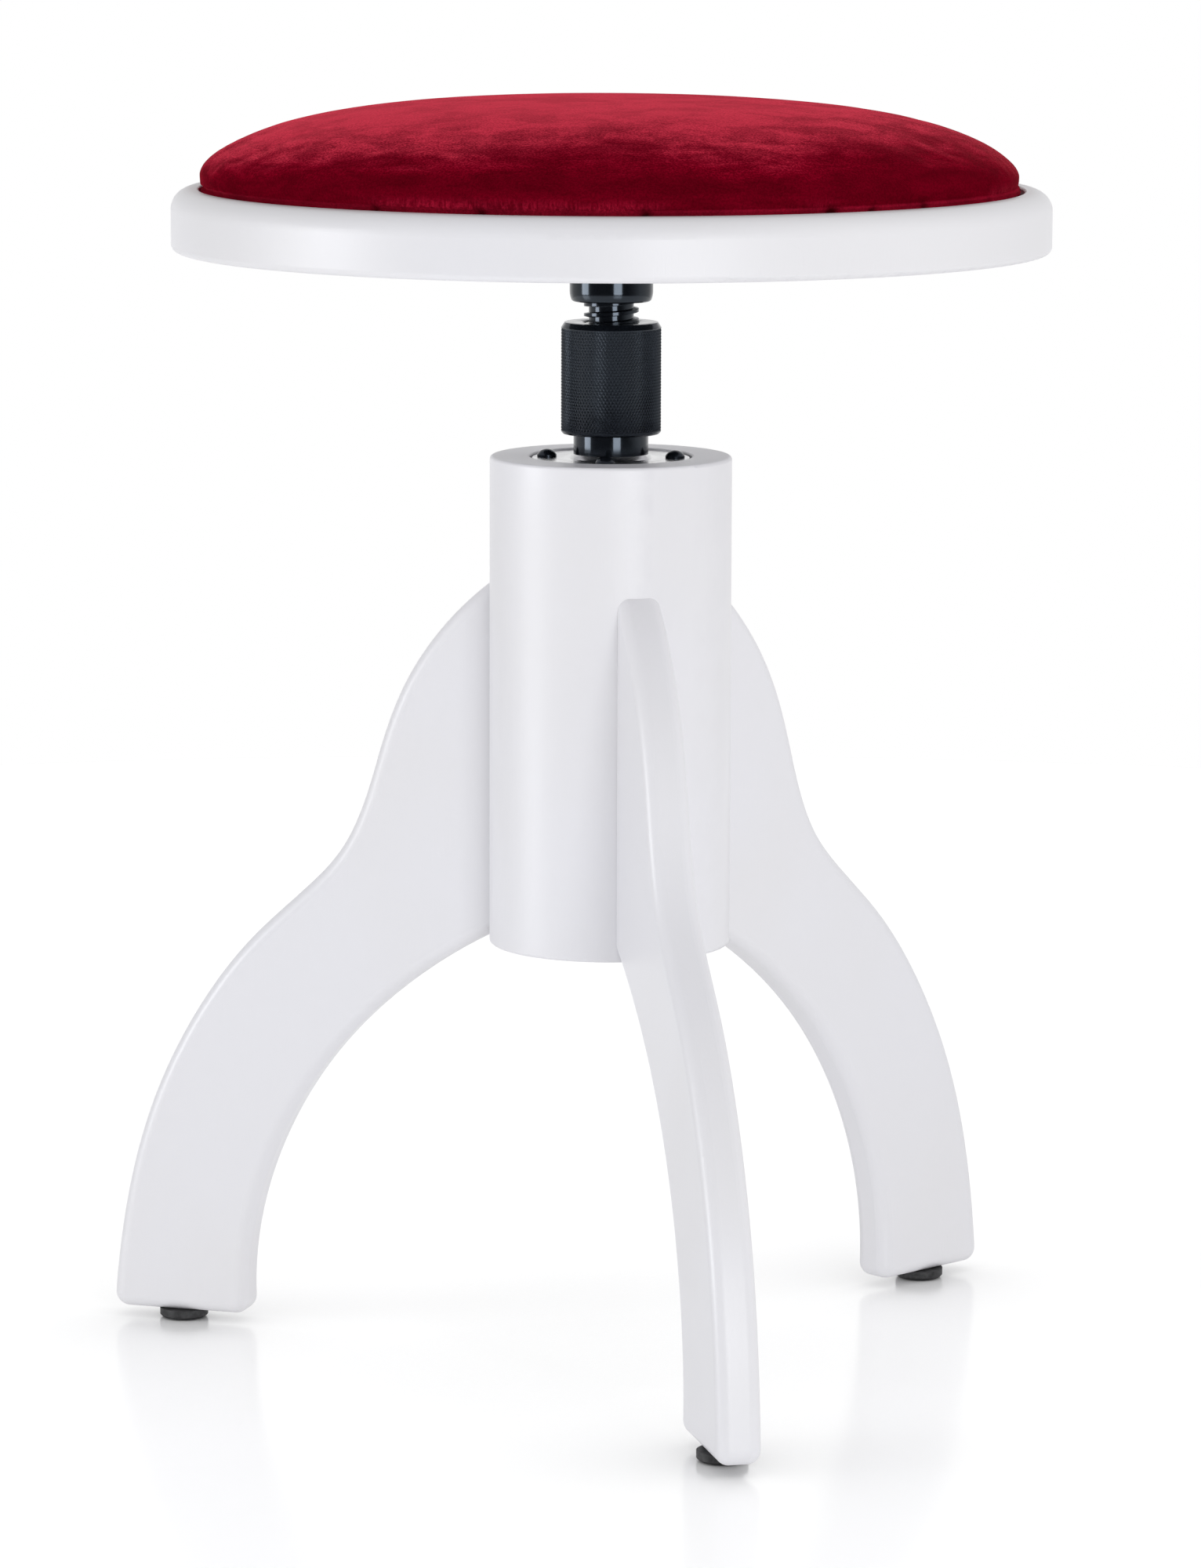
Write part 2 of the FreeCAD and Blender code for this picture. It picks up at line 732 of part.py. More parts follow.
def make_hub():
    """The hub, the seat plate welded on it, and the bolt that clamps both to the spindle."""
    hub_radius = size.hub_diameter / 2
    hub_bore = shank_radius + size.fit_gap
    nose_radius = hub_radius - size.hub_nose_inset
    nose_foot = (nose_radius, hub_bottom + size.hub_edge_chamfer)
    nose_top = (hub_radius, hub_bottom + size.hub_nose_height)
    turned("spindle_hub", [
        (hub_bore, hub_bottom),
        (nose_radius - size.hub_edge_chamfer, hub_bottom),
        (*nose_foot, [passed_point(nose_foot, nose_top, HUB_NOSE_SHARES)]),
        nose_top,
        (hub_radius, plate_bottom),
        (hub_bore, plate_bottom),
    ])
    plate_radius = size.plate_diameter / 2
    plate = turned("seat_plate", ring(hub_bore, plate_radius, plate_bottom, seat_bottom))
    round_circles(plate, "seat_plate_edge", size.plate_edge_radius, [(plate_radius, plate_bottom)])
    bore_ring(plate, "seat_plate_holes", size.plate_screw_diameter + size.fit_gap * 2,
              size.plate_screw_circle_radius, size.plate_screw_count,
              plate_bottom - size.overrun, seat_bottom + size.overrun)
    turn_about_axis(plate, size.plate_screw_turn)
    screw = screw_outline(plate_bottom, size.plate_screw_head_diameter / 2,
                          size.plate_screw_head_height, size.plate_screw_diameter / 2,
                          size.plate_screw_length, up=True)
    ring_of_pins("plate_screws", screw, size.plate_screw_circle_radius, size.plate_screw_count,
                 size.plate_screw_turn)
    bolt_radius = size.hub_bolt_diameter / 2
    washer_top = seat_bottom + size.hub_washer_height
    turned("hub_washer", ring(bolt_radius + size.fit_gap, size.hub_washer_diameter / 2,
                              seat_bottom, washer_top))
    bolt_end = washer_top - size.hub_bolt_length
    head_radius = size.hub_bolt_head_diameter / 2
    head_top = washer_top + size.hub_bolt_head_height
    turned("hub_bolt", [
        (0, bolt_end),
        (bolt_radius, bolt_end),
        (bolt_radius, washer_top),
        (head_radius, washer_top),
        (head_radius, head_top),
        (0, head_top),
    ])


def make_seat_disc():
    """The seat's round board: a rebate for the cushion above, a pocket for the bolt below."""
    seat_radius = size.seat_diameter / 2
    rebate_radius = size.rebate_diameter / 2
    pocket_radius = size.hub_washer_diameter / 2 + size.pocket_gap
    pocket_top = seat_bottom + size.hub_washer_height + size.hub_bolt_head_height + size.pocket_gap
    body = turned("seat_disc", [
        (pocket_radius, seat_bottom),
        (seat_radius, seat_bottom),
        (seat_radius, seat_top),
        (rebate_radius, seat_top),
        (rebate_radius, rebate_floor),
        (0, rebate_floor),
        (0, pocket_top),
        (pocket_radius, pocket_top),
    ])
    round_circles(body, "seat_disc_top", size.seat_top_radius, [(seat_radius, seat_top)])
    round_circles(body, "seat_disc_bottom", size.seat_bottom_radius, [(seat_radius, seat_bottom)])
    round_circles(body, "seat_disc_rim", size.rebate_edge_radius, [(rebate_radius, seat_top)])
    pilot_end = plate_bottom + size.plate_screw_length + size.fit_gap
    bore_ring(body, "seat_disc_pilots", size.plate_screw_diameter + size.fit_gap * 2,
              size.plate_screw_circle_radius, size.plate_screw_count, seat_bottom, pilot_end,
              size.plate_screw_turn)
    bore_ring(body, "seat_disc_sinks", size.cushion_screw_head_diameter + size.fit_gap * 4,
              size.cushion_screw_circle_radius, size.cushion_screw_count, seat_bottom,
              cushion_screw_seat, size.cushion_screw_turn)
    bore_ring(body, "seat_disc_screw_holes", size.cushion_screw_diameter + size.fit_gap * 2,
              size.cushion_screw_circle_radius, size.cushion_screw_count, seat_bottom,
              rebate_floor + size.overrun, size.cushion_screw_turn)


def make_cushion():
    """The upholstered pad: a board, a foam dome on it and a cover with its hem turned under."""
    radius = size.cushion_diameter / 2
    hem_radius = radius - size.waist_inset
    hem_inner = hem_radius - size.cover_hem_width
    lined_radius = radius - size.cover_thickness
    lined_height = size.crown_height - size.cover_thickness
    top = waist + size.crown_height
    turned("cushion_cover", [
        (hem_inner, rebate_floor),
        (hem_radius, rebate_floor),
        (radius, waist, crown(radius, size.crown_height, waist)),
        (0, top),
        (0, waist + lined_height, crown(lined_radius, lined_height, waist)[::-1]),
        (lined_radius, waist),
        (hem_radius - size.cover_thickness, board_bottom),
        (hem_inner, board_bottom),
    ])
    foam_radius = lined_radius - size.foam_gap
    foam_height = lined_height - size.foam_gap
    foam_foot = hem_radius - size.cover_thickness - size.foam_gap
    turned("cushion_foam", [
        (0, board_top),
        (foam_foot, board_top),
        (foam_radius, waist, crown(foam_radius, foam_height, waist)),
        (0, waist + foam_height),
    ])
    board = turned("cushion_board", ring(0, foam_foot, board_bottom, board_top))
    bore_ring(board, "cushion_board_holes", size.cushion_screw_diameter + size.fit_gap * 2,
              size.cushion_screw_circle_radius, size.cushion_screw_count,
              board_bottom, board_bottom + size.cushion_screw_grip + size.fit_gap,
              size.cushion_screw_turn)
    length = board_bottom + size.cushion_screw_grip - cushion_screw_seat
    screw = screw_outline(cushion_screw_seat, size.cushion_screw_head_diameter / 2,
                          size.cushion_screw_head_height, size.cushion_screw_diameter / 2,
                          length, up=True)
    ring_of_pins("cushion_screws", screw, size.cushion_screw_circle_radius,
                 size.cushion_screw_count, size.cushion_screw_turn)


size = make_sheet()

# Radii and levels that several pieces share.
column_radius = size.column_diameter / 2
glide_circle_radius = size.leg_reach * GLIDE_CIRCLE_SHARE
column_top = size.column_bottom + size.column_height
socket_radius = size.socket_diameter / 2
flange_top = column_top - size.flange_drop
socket_floor = flange_top - size.flange_thickness
dowel_inner = column_radius - size.dowel_length / 2
dowel_levels = [size.column_bottom + size.column_height * share for share in DOWEL_LEVEL_SHARES]
dowel_centres = [(0, level) for level in dowel_levels]

tube_radius = size.tube_diameter / 2
tube_bore_radius = tube_radius - size.tube_wall
tube_top = column_top + size.tube_rise
tube_bottom = tube_top - size.tube_length
collar_radius = tube_radius - size.nut_collar_inset
nut_top = tube_top + size.nut_collar_height
nut_bottom = nut_top - size.nut_length
sleeve_shoulder = nut_top + size.lock_washer_height
sleeve_top = sleeve_shoulder + size.sleeve_thread_length
sleeve_bottom = sleeve_top - size.sleeve_height

hub_bottom = sleeve_top + size.thread_shown
plate_bottom = hub_bottom + size.hub_height
seat_bottom = plate_bottom + size.plate_thickness
seat_top = seat_bottom + size.seat_height
rebate_floor = seat_top - size.rebate_depth
board_bottom = rebate_floor + size.cover_thickness
board_top = board_bottom + size.board_thickness
waist = board_top + size.waist_rise
cushion_screw_seat = seat_bottom + size.cushion_screw_sink + size.cushion_screw_head_height

thread_radius = size.thread_diameter / 2
thread_root_radius = thread_radius - size.thread_depth
shank_radius = size.shank_diameter / 2
journal_radius = size.journal_diameter / 2
thread_end = nut_bottom - size.travel_end_gap - size.travel_up
thread_start = thread_end - size.thread_pitch
bush_bottom = thread_end - size.bush_height
journal_bottom = bush_bottom - size.fit_gap
end_washer_bottom = journal_bottom - size.end_washer_height

make_column()
make_dowels()
for number, side in enumerate(LEG_SIDES):
    make_leg(number, side)
    make_glide(number, side)
make_nails()
make_flange()
turned("guide_tube", ring(tube_bore_radius, tube_radius, tube_bottom, tube_top))
make_nut()
make_sleeve()
make_spindle()
make_spindle_end()
make_hub()
make_seat_disc()
make_cushion()
document.recompute()

for thing in document.Objects:
    faults = [state for state in thing.State if state in ("Invalid", "Error")]
    if faults:
        raise RuntimeError(f"{thing.Name} is {faults}")
for body in bodies:
    if body.Shape.isNull() or not body.Shape.isValid():
        raise RuntimeError(f"{body.Label} has no valid shape")

os.makedirs("parts", exist_ok=True)
for body in bodies:
    body.Shape.exportStep(f"parts/{body.Label}.step")
    solids = len(body.Shape.Solids)
    print(f"{body.Label}: {solids} solids, {body.Shape.Volume:.0f} mm3")
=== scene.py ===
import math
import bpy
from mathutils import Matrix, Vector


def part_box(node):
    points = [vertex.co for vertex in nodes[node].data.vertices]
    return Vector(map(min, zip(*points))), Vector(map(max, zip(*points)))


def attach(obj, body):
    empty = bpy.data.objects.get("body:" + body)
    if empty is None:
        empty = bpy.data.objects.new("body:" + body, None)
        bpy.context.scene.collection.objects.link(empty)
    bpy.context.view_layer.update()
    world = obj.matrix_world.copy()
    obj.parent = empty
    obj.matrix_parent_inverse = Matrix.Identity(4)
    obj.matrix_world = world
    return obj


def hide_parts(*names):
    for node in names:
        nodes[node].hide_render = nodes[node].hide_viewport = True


bl_info = {
    "name": "Piano Stool",
    "version": (1, 0, 0),
    "blender": (4, 5, 0),
    "location": "View3D > Sidebar > Piano Stool",
    "description": "Dresses a packed piano stool in lacquer, gloss steel, knurling and velvet",
    "category": "Object",
}

import bpy
import numpy as np
from bpy.props import FloatProperty, FloatVectorProperty, IntProperty, PointerProperty
from mathutils import Matrix, Vector
from mathutils.kdtree import KDTree

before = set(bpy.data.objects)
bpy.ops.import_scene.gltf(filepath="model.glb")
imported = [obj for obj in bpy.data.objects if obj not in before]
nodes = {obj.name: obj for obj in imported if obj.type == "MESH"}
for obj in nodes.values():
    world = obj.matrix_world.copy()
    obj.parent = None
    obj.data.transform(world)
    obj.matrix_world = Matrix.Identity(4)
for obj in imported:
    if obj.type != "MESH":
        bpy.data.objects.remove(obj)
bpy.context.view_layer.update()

# The shared node groups and finishes, filled by the operator that makes them
groups = {}
materials = {}

MM = 0.001

# The stool's upright axis passes through the origin, with the front leg towards -Y.
cover_low, cover_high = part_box("cushion_cover")
sleeve_low, sleeve_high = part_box("lock_sleeve")
board_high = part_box("cushion_board")[1]
HEM_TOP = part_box("seat_disc")[1].z

# The velvet cover's form
COVER_COLUMNS = 720
COVER_INSET = 0.4 * MM
HEM_RADIUS = 162.6 * MM
WALL_ROWS = 12
WALL_LEAN = 1.1 * MM
DOME_ROWS = 84
DOME_RISE = 29.8 * MM
DOME_ROUNDNESS = 3.0
DOME_SHOULDER = 1.65
BOARD_CLEARANCE = 0.4 * MM
PINCH_WIDTH = 0.7 * MM
PINCH_RUN_OUT = 0.6 * MM

# The cloth run that swells the cover
CLOTH_VOXEL = 5 * MM
PIN_REACH = 5 * MM
CLOTH_FRAMES = 20
CLOTH = {
    "quality": 5,
    "mass": 0.3,
    "tension_stiffness": 15,
    "compression_stiffness": 10,
    "shear_stiffness": 5,
    "bending_stiffness": 0.3,
    "use_pressure": True,
    "shrink_min": -0.002,
}
SWELL_CENTRE = HEM_TOP - 120 * MM
SWELL_RING = 6 * MM
SWELL_RINGS = 40
NEAREST_POINTS = 6

# The puckers and hollows that use has left in the cover
USE_SEED = 11
HOLLOWS = 26

# The knurled sleeve's bore and plain ends
SLEEVE_BORE = 11.25 * MM
SLEEVE_SKIRT_BORE = 15.36 * MM
SLEEVE_BORE_DEPTH = 15 * MM
PLAIN_FOOT = 1.1 * MM
PLAIN_HEAD = 2.1 * MM
DIAMOND_STEPS = 4
SHARP_EDGE = math.radians(28)


# Settings that a user would change


def color_setting(name, description, default):
    return FloatVectorProperty(name=name, description=description, default=default, size=3,
                               min=0, max=1, subtype="COLOR")


def number_setting(name, description, default, least=0, most=1):
    return FloatProperty(name=name, description=description, default=default, min=least,
                         max=most)


def length_setting(name, description, default, least, most):
    return FloatProperty(name=name, description=description, default=default, min=least,
                         max=most, subtype="DISTANCE", unit="LENGTH", precision=6)


def angle_setting(name, description, degrees):
    return FloatProperty(name=name, description=description, default=math.radians(degrees),
                         subtype="ANGLE", unit="ROTATION")


def power_setting(name, description, default):
    return FloatProperty(name=name, description=description, default=default, min=0, max=500,
                         subtype="POWER", unit="POWER")


class CameraSettings(bpy.types.PropertyGroup):
    """Where the picture is taken from"""

    location: FloatVectorProperty(
        name="Location", description="Where the camera stands",
        default=(-0.6123, -2.5053, 0.6380), subtype="TRANSLATION", unit="LENGTH")
    tilt: angle_setting("Tilt", "How far the camera is turned up from straight down", 81.074)
    turn: angle_setting("Turn", "How far the camera is turned about the upright axis", -13.65)
    roll: angle_setting(
        "Roll", "How far the camera is turned about its own line of sight", 0.166)
    lens: FloatProperty(
        name="Lens", description="Focal length on a 36 mm sensor",
        default=148.68, min=10, max=400, subtype="DISTANCE_CAMERA", unit="CAMERA")


class StudioSettings(bpy.types.PropertyGroup):
    """The pale floor, the room round it and the lamps"""

    floor_radius: length_setting("Floor Radius", "Radius of the pale floor", 1.6, 0.5, 5)
    floor_color: color_setting(
        "Floor Colour", "Colour of the floor where the lamps light it", (0.84, 0.84, 0.84))
    floor_glow: number_setting(
        "Floor Glow", "White that the camera and gloss see on the floor", 0.32)
    floor_fill: number_setting("Fill from Below", "Soft light that the floor sends up", 0.18)
    # The reach of the floor's painted contact shadow
    contact_reach: length_setting(
        "Contact Shade", "How far the shade round the feet reaches", 0.2, 0.01, 1)
    floor_roughness: number_setting(
        "Floor Roughness", "How blurred the floor's reflections are", 0.17)
    fill_front: number_setting(
        "Fill from the Front", "Soft light from behind the camera", 0.64, most=2)
    fill_side: number_setting(
        "Fill from the Sides", "Soft light from the sides and above", 0.84, most=2)
    fill_lean: number_setting(
        "Fill Lean", "How much brighter the soft light is on the right", 0.26, least=-1)
    fill_top: number_setting(
        "Fill from Above", "Share of the soft light that comes from overhead", 0.7, most=2)
    room_front: number_setting(
        "Room Behind the Camera", "What gloss shows of the room behind the camera", 0.06,
        most=2)
    room_side: number_setting(
        "Room at the Sides", "What gloss shows of the room at the sides and above", 0.6, most=2)
    strip_width: length_setting(
        "Strip Width", "Width of the two soft strip lamps", 0.78, 0.1, 2)
    strip_height: length_setting(
        "Strip Height", "Height of the two soft strip lamps", 0.66, 0.3, 4)
    strip_distance: length_setting(
        "Strip Distance", "From the stool's axis to each strip lamp", 2.0, 0.8, 6)
    left_strip_power: power_setting(
        "Left Strip Power", "Power of the strip lamp on the left", 11.2)
    front_strip_power: power_setting(
        "Front Strip Power", "Power of the strip lamp beside the camera", 11.2)


class LacquerSettings(bpy.types.PropertyGroup):
    """White lacquer on the turned and sawn wood"""

    color: color_setting("Colour", "Colour of the white lacquer", (0.80, 0.795, 0.83))
    roughness: number_setting("Roughness", "How satin the lacquer is", 0.36)
    ripple: length_setting(
        "Ripple", "Depth of the sprayed surface's faint ripple", 0.02 * MM, 0, MM)


class SteelSettings(bpy.types.PropertyGroup):
    """Gloss black steel and the knurled lock sleeve"""

    color: color_setting("Colour", "Colour of the black finish", (0.0035, 0.0042, 0.006))
    roughness: number_setting("Roughness", "How blurred the gloss is", 0.12)
    knurl_count: IntProperty(
        name="Diamonds Round", description="Number of knurled diamonds round the sleeve",
        default=90, min=24, max=200)
    knurl_rise: length_setting(
        "Diamond Height", "Height of one knurled diamond", 2.42 * MM, 0.5 * MM, 8 * MM)
    knurl_depth: length_setting(
        "Knurl Depth", "How deep the knurl's grooves are cut", 0.32 * MM, 0, MM)


class CushionSettings(bpy.types.PropertyGroup):
    """The domed velvet cushion"""

    # The three reds are the ends and middle of the pile's painted sheen and light: deep red seen
    # face on and on upright sides, light red at a glancing angle and on the crown's top. The
    # middle red also paints the hem's highlight.
    dark_color: color_setting(
        "Deep Red", "Colour of the pile seen from straight ahead", (0.125, 0.0004, 0.0068))
    mid_color: color_setting("Red", "Colour of most of the pile", (0.28, 0.0065, 0.024))
    light_color: color_setting(
        "Light Red", "Colour of the pile's painted sheen and painted light, and of its lint", (0.60, 0.034, 0.068))
    sheen_color: color_setting("Sheen", "Colour of the pile's sheen", (1.0, 0.13, 0.17))
    staple_count: IntProperty(
        name="Staples", description="Number of staples that hold the hem round the board",
        default=44, min=8, max=120)
    pucker_depth: length_setting(
        "Pucker Depth", "How deep a staple pulls the hem in", 1.5 * MM, 0, 3 * MM)
    play: length_setting(
        "Off Centre", "How far the cover has been dragged to the left", 1.0 * MM, 0, MM)
    pressure: number_setting("Pressure", "How hard the foam pushes the cover out", 3.0, most=20)
    swell: length_setting(
        "Swell", "The most that the simulated cover may move", 0.3 * MM, 0, 10 * MM)


# Helpers for meshes


def new_object(name, vertices, faces, smooth=True):
    mesh = bpy.data.meshes.new(name)
    mesh.from_pydata([tuple(v) for v in vertices], [], [tuple(f) for f in faces])
    mesh.update()
    thing = bpy.data.objects.new(name, mesh)
    bpy.context.scene.collection.objects.link(thing)
    if smooth:
        mesh.shade_smooth()
    return thing


def lathe_faces(rows, columns, closed=False):
    """Quads between the rows of a surface of revolution, each row a full circle."""
    faces = []
    for row in range(rows if closed else rows - 1):
        here, there = row * columns, (row + 1) % rows * columns
        for column in range(columns):
            beside = (column + 1) % columns
            faces.append((here + column, here + beside, there + beside, there + column))
    return faces


def lathe_points(profile, columns):
    """Points of a profile of (radius, level) pairs turned about the upright axis."""
    angles = np.linspace(0, 2 * math.pi, columns, endpoint=False)
    radii = np.array([p[0] for p in profile])[:, None]
    levels = np.array([p[1] for p in profile])[:, None]
    points = np.stack(np.broadcast_arrays(
        radii * np.cos(angles), radii * np.sin(angles), levels), axis=-1)
    return points.reshape(-1, 3)


def mesh_points(mesh):
    points = np.empty(len(mesh.vertices) * 3)
    mesh.vertices.foreach_get("co", points)
    return points.reshape(-1, 3)


def even_out(points, before, move, most):
    """A coarse mesh's movement carried to the points, less what is the same all round."""
    radii = np.hypot(before[:, 0], before[:, 1])
    upper = before[:, 2] > HEM_TOP
    outward = before - np.array([0, 0, SWELL_CENTRE])
    outward /= np.linalg.norm(outward, axis=1)[:, None]
    lift = (move * outward).sum(1)
    ring = np.clip((radii / SWELL_RING).astype(int), 0, SWELL_RINGS - 1) + SWELL_RINGS * upper
    count = np.bincount(ring, minlength=2 * SWELL_RINGS)
    mean = np.bincount(ring, lift, 2 * SWELL_RINGS) / np.maximum(count, 1)
    move = move - outward * mean[ring][:, None]
    length = np.linalg.norm(move, axis=1)
    move = move * (np.minimum(length, most) / np.maximum(length, 1e-9))[:, None]
    tree = KDTree(len(before))
    for index, place in enumerate(before):
        tree.insert(place, index)
    tree.balance()
    carried = np.zeros((len(points), 3))
    for index, place in enumerate(points):
        near = tree.find_n(place, NEAREST_POINTS)
        weights = np.array([1 / (distance + MM) ** 2 for _, _, distance in near])
        carried[index] = weights @ move[[n for _, n, _ in near]] / weights.sum()
    return carried


def dress(thing, material):
    thing.data.materials.clear()
    thing.data.materials.append(material)


def dress_nodes(finish, *names):
    for name in names:
        dress(nodes[name], materials[finish])


# Helpers for shader nodes, which arrange() places when a tree is complete


def color4(value):
    if isinstance(value, bpy.types.NodeSocket):
        return value
    return (*tuple(value)[:3], 1.0)


def tinted(color, share):
    """The colour with its channels times one share, or each times its own."""
    shares = share if isinstance(share, tuple) else (share,) * 3
    return tuple(min(channel * s, 1.0) for channel, s in zip(color, shares))


def join(tree, value, socket):
    if isinstance(value, bpy.types.NodeSocket):
        tree.links.new(value, socket)
    else:
        socket.default_value = value


def plug(tree, node, **inputs):
    """Set or link the inputs that the keywords name, with _ for a space."""
    for name, value in inputs.items():
        join(tree, value, node.inputs[name.replace("_", " ")])
    return node


def add_node(tree, kind, label="", **inputs):
    node = tree.nodes.new(kind)
    node.label = label
    return plug(tree, node, **inputs)


def add_math(tree, operation, *values):
    node = add_node(tree, "ShaderNodeMath")
    node.operation = operation
    for value, socket in zip(values, node.inputs):
        join(tree, value, socket)
    return node.outputs["Value"]


def times(tree, first, second):
    return add_math(tree, "MULTIPLY", first, second)


def add_vector_math(tree, operation, vector, other=None, label=""):
    """A vector for MULTIPLY, and a number for the operations that measure."""
    node = add_node(tree, "ShaderNodeVectorMath", label)
    node.operation = operation
    tree.links.new(vector, node.inputs[0])
    if other is not None:
        node.inputs[1].default_value = other
    return node.outputs["Vector" if operation == "MULTIPLY" else "Value"]


def add_noise(tree, vector, scale, detail=2.0, roughness=0.5, distortion=0.0, label=""):
    return add_node(tree, "ShaderNodeTexNoise", label, Vector=vector, Scale=scale, Detail=detail,
                    Roughness=roughness, Distortion=distortion).outputs["Fac"]


def add_range(tree, value, low, high, to_low=0.0, to_high=1.0, label=""):
    node = add_node(tree, "ShaderNodeMapRange", label, Value=value, From_Min=low, From_Max=high,
                    To_Min=to_low, To_Max=to_high)
    node.interpolation_type = "SMOOTHSTEP"
    return node.outputs["Result"]


def add_mix(tree, factor, first, second, label="", blend="MIX"):
    """A mix of two colours."""
    node = add_node(tree, "ShaderNodeMix", label)
    node.data_type = "RGBA"
    node.blend_type = blend
    for value, socket in ((factor, 0), (color4(first), 6), (color4(second), 7)):
        join(tree, value, node.inputs[socket])
    return node.outputs[2]


def blend_numbers(tree, share, first, second):
    node = add_node(tree, "ShaderNodeMix")
    for value, socket in ((share, 0), (first, 2), (second, 3)):
        join(tree, value, node.inputs[socket])
    return node.outputs[0]


def add_bump(tree, height, strength, distance, label="", **inputs):
    return add_node(tree, "ShaderNodeBump", label, Height=height, Strength=strength,
                    Distance=distance, **inputs).outputs["Normal"]


def split(tree, vector):
    return add_node(tree, "ShaderNodeSeparateXYZ", Vector=vector).outputs


def round_coordinates(tree, vector):
    """Radius, nothing and level about the upright axis, for lines left by a lathe."""
    parts = split(tree, vector)
    flat = add_node(tree, "ShaderNodeCombineXYZ", "Across the Axis", X=parts["X"], Y=parts["Y"])
    radius = add_vector_math(tree, "LENGTH", flat.outputs["Vector"])
    return add_node(tree, "ShaderNodeCombineXYZ", "Radius and Level", X=radius,
                    Z=parts["Z"]).outputs["Vector"]


def seen_rays(tree):
    """One for camera, glossy and transmission rays, which see the background's white."""
    rays = add_node(tree, "ShaderNodeLightPath").outputs
    first = add_math(tree, "MAXIMUM", rays["Is Camera Ray"], rays["Is Glossy Ray"])
    return add_math(tree, "MAXIMUM", first, rays["Is Transmission Ray"])


def new_material(name):
    """A material with its tree, its Principled BSDF and the object's own coordinates."""
    material = bpy.data.materials.new(name)
    material.use_nodes = True
    tree = material.node_tree
    coordinates = add_node(tree, "ShaderNodeTexCoord").outputs["Object"]
    return material, tree, tree.nodes["Principled BSDF"], coordinates


def new_group(name, outputs, **numbers):
    """A shader node group with coordinates and numbers as inputs, and the named outputs."""
    group = bpy.data.node_groups.new(name, "ShaderNodeTree")
    group.interface.new_socket("Coordinates", in_out="INPUT", socket_type="NodeSocketVector")
    for label, default in numbers.items():
        socket = group.interface.new_socket(
            label.replace("_", " "), in_out="INPUT", socket_type="NodeSocketFloat")
        socket.default_value = default
    for label in outputs:
        group.interface.new_socket(label, in_out="OUTPUT", socket_type="NodeSocketFloat")
    given = group.nodes.new("NodeGroupInput").outputs
    return group, given, group.nodes.new("NodeGroupOutput")


def use_group(tree, name, coordinates, **values):
    node = add_node(tree, "ShaderNodeGroup", groups[name].name)
    node.node_tree = groups[name]
    return plug(tree, node, Coordinates=coordinates, **values).outputs


def arrange(tree, across=240, down=300):
    """Lay the nodes out in columns, each node to the left of all that it feeds."""
    column = {node.name: 0 for node in tree.nodes}
    for _ in tree.nodes:
        for link in tree.links:
            before, after = link.from_node.name, link.to_node.name
            column[before] = max(column[before], column[after] + 1)
    filled = {}
    for node in tree.nodes:
        here = column[node.name]
        node.location = (-across * here, -down * filled.get(here, 0))
        filled[here] = filled.get(here, 0) + 1


# Node groups that more than one finish uses


def unevenness_group():
    """Slow and fine unevenness of a finished surface: a tone mask and a relief height."""
    group, given, out = new_group("Surface Unevenness", ["Tone", "Height"],
                                  Slow_Scale=9.0, Fine_Scale=260.0, Fine_Share=0.35)
    slow = add_noise(group, given["Coordinates"], given["Slow Scale"], 3.0, label="Slow Patches")
    fine = add_noise(group, given["Coordinates"], given["Fine Scale"], label="Fine Ripple")
    plug(group, out,
         Tone=add_range(group, slow, 0.32, 0.68, label="Patch Contrast"),
         Height=add_math(group, "ADD", slow, times(group, fine, given["Fine Share"])))
    return group


def wear_group():
    """A mask of worn edges, broken up by noise."""
    group, given, out = new_group("Edge Wear", ["Mask"], Start=0.53, End=0.6, Scale=90.0)
    pointiness = add_node(group, "ShaderNodeNewGeometry").outputs["Pointiness"]
    edge = add_range(group, pointiness, given["Start"], given["End"], label="Convex Edges")
    broken = add_noise(group, given["Coordinates"], given["Scale"], 4.0, 0.6, label="Breaks")
    plug(group, out, Mask=times(group, edge, add_range(group, broken, 0.35, 0.65)))
    return group


def dust_group():
    """A mask of faint dust that settles on what faces up."""
    group, given, out = new_group("Settled Dust", ["Mask"], Scale=420.0, Amount=0.5)
    normal = add_node(group, "ShaderNodeNewGeometry").outputs["Normal"]
    upward = add_range(group, split(group, normal)["Z"], 0.3, 1.0, label="Facing Up")
    specks = add_noise(group, given["Coordinates"], given["Scale"], 5.0, 0.7)
    spread = add_range(group, specks, 0.52, 0.72, label="Specks")
    plug(group, out, Mask=times(group, times(group, upward, spread), given["Amount"]))
    return group


def grain_group():
    """Wood grain that runs along one axis: a tone mask and a relief height."""
    group, given, out = new_group("Wood Grain", ["Tone", "Height"], Ring_Scale=60.0,
                                  Pore_Scale=900.0)
    rings = add_noise(group, given["Coordinates"], given["Ring Scale"], 4.0, 0.6, 1.2, "Rings")
    pores = add_noise(group, given["Coordinates"], given["Pore Scale"], label="Pores")
    tone = add_range(group, rings, 0.3, 0.7)
    pits = add_range(group, pores, 0.55, 0.75, label="Open Pores")
    plug(group, out, Tone=tone, Height=add_math(group, "SUBTRACT", tone, pits))
    return group


def lathe_group():
    """Fine lines left by turning, from coordinates of radius and level."""
    group, given, out = new_group("Turned Lines", ["Tone", "Height"], Scale=3500.0)
    lines = add_noise(group, given["Coordinates"], given["Scale"], 3.0, 0.7, label="Tool Lines")
    slow = add_noise(group, given["Coordinates"], 160.0, label="Slow Bands")
    plug(group, out, Tone=add_range(group, add_math(group, "ADD", lines, slow), 0.7, 1.3),
         Height=lines)
    return group


# Finishes


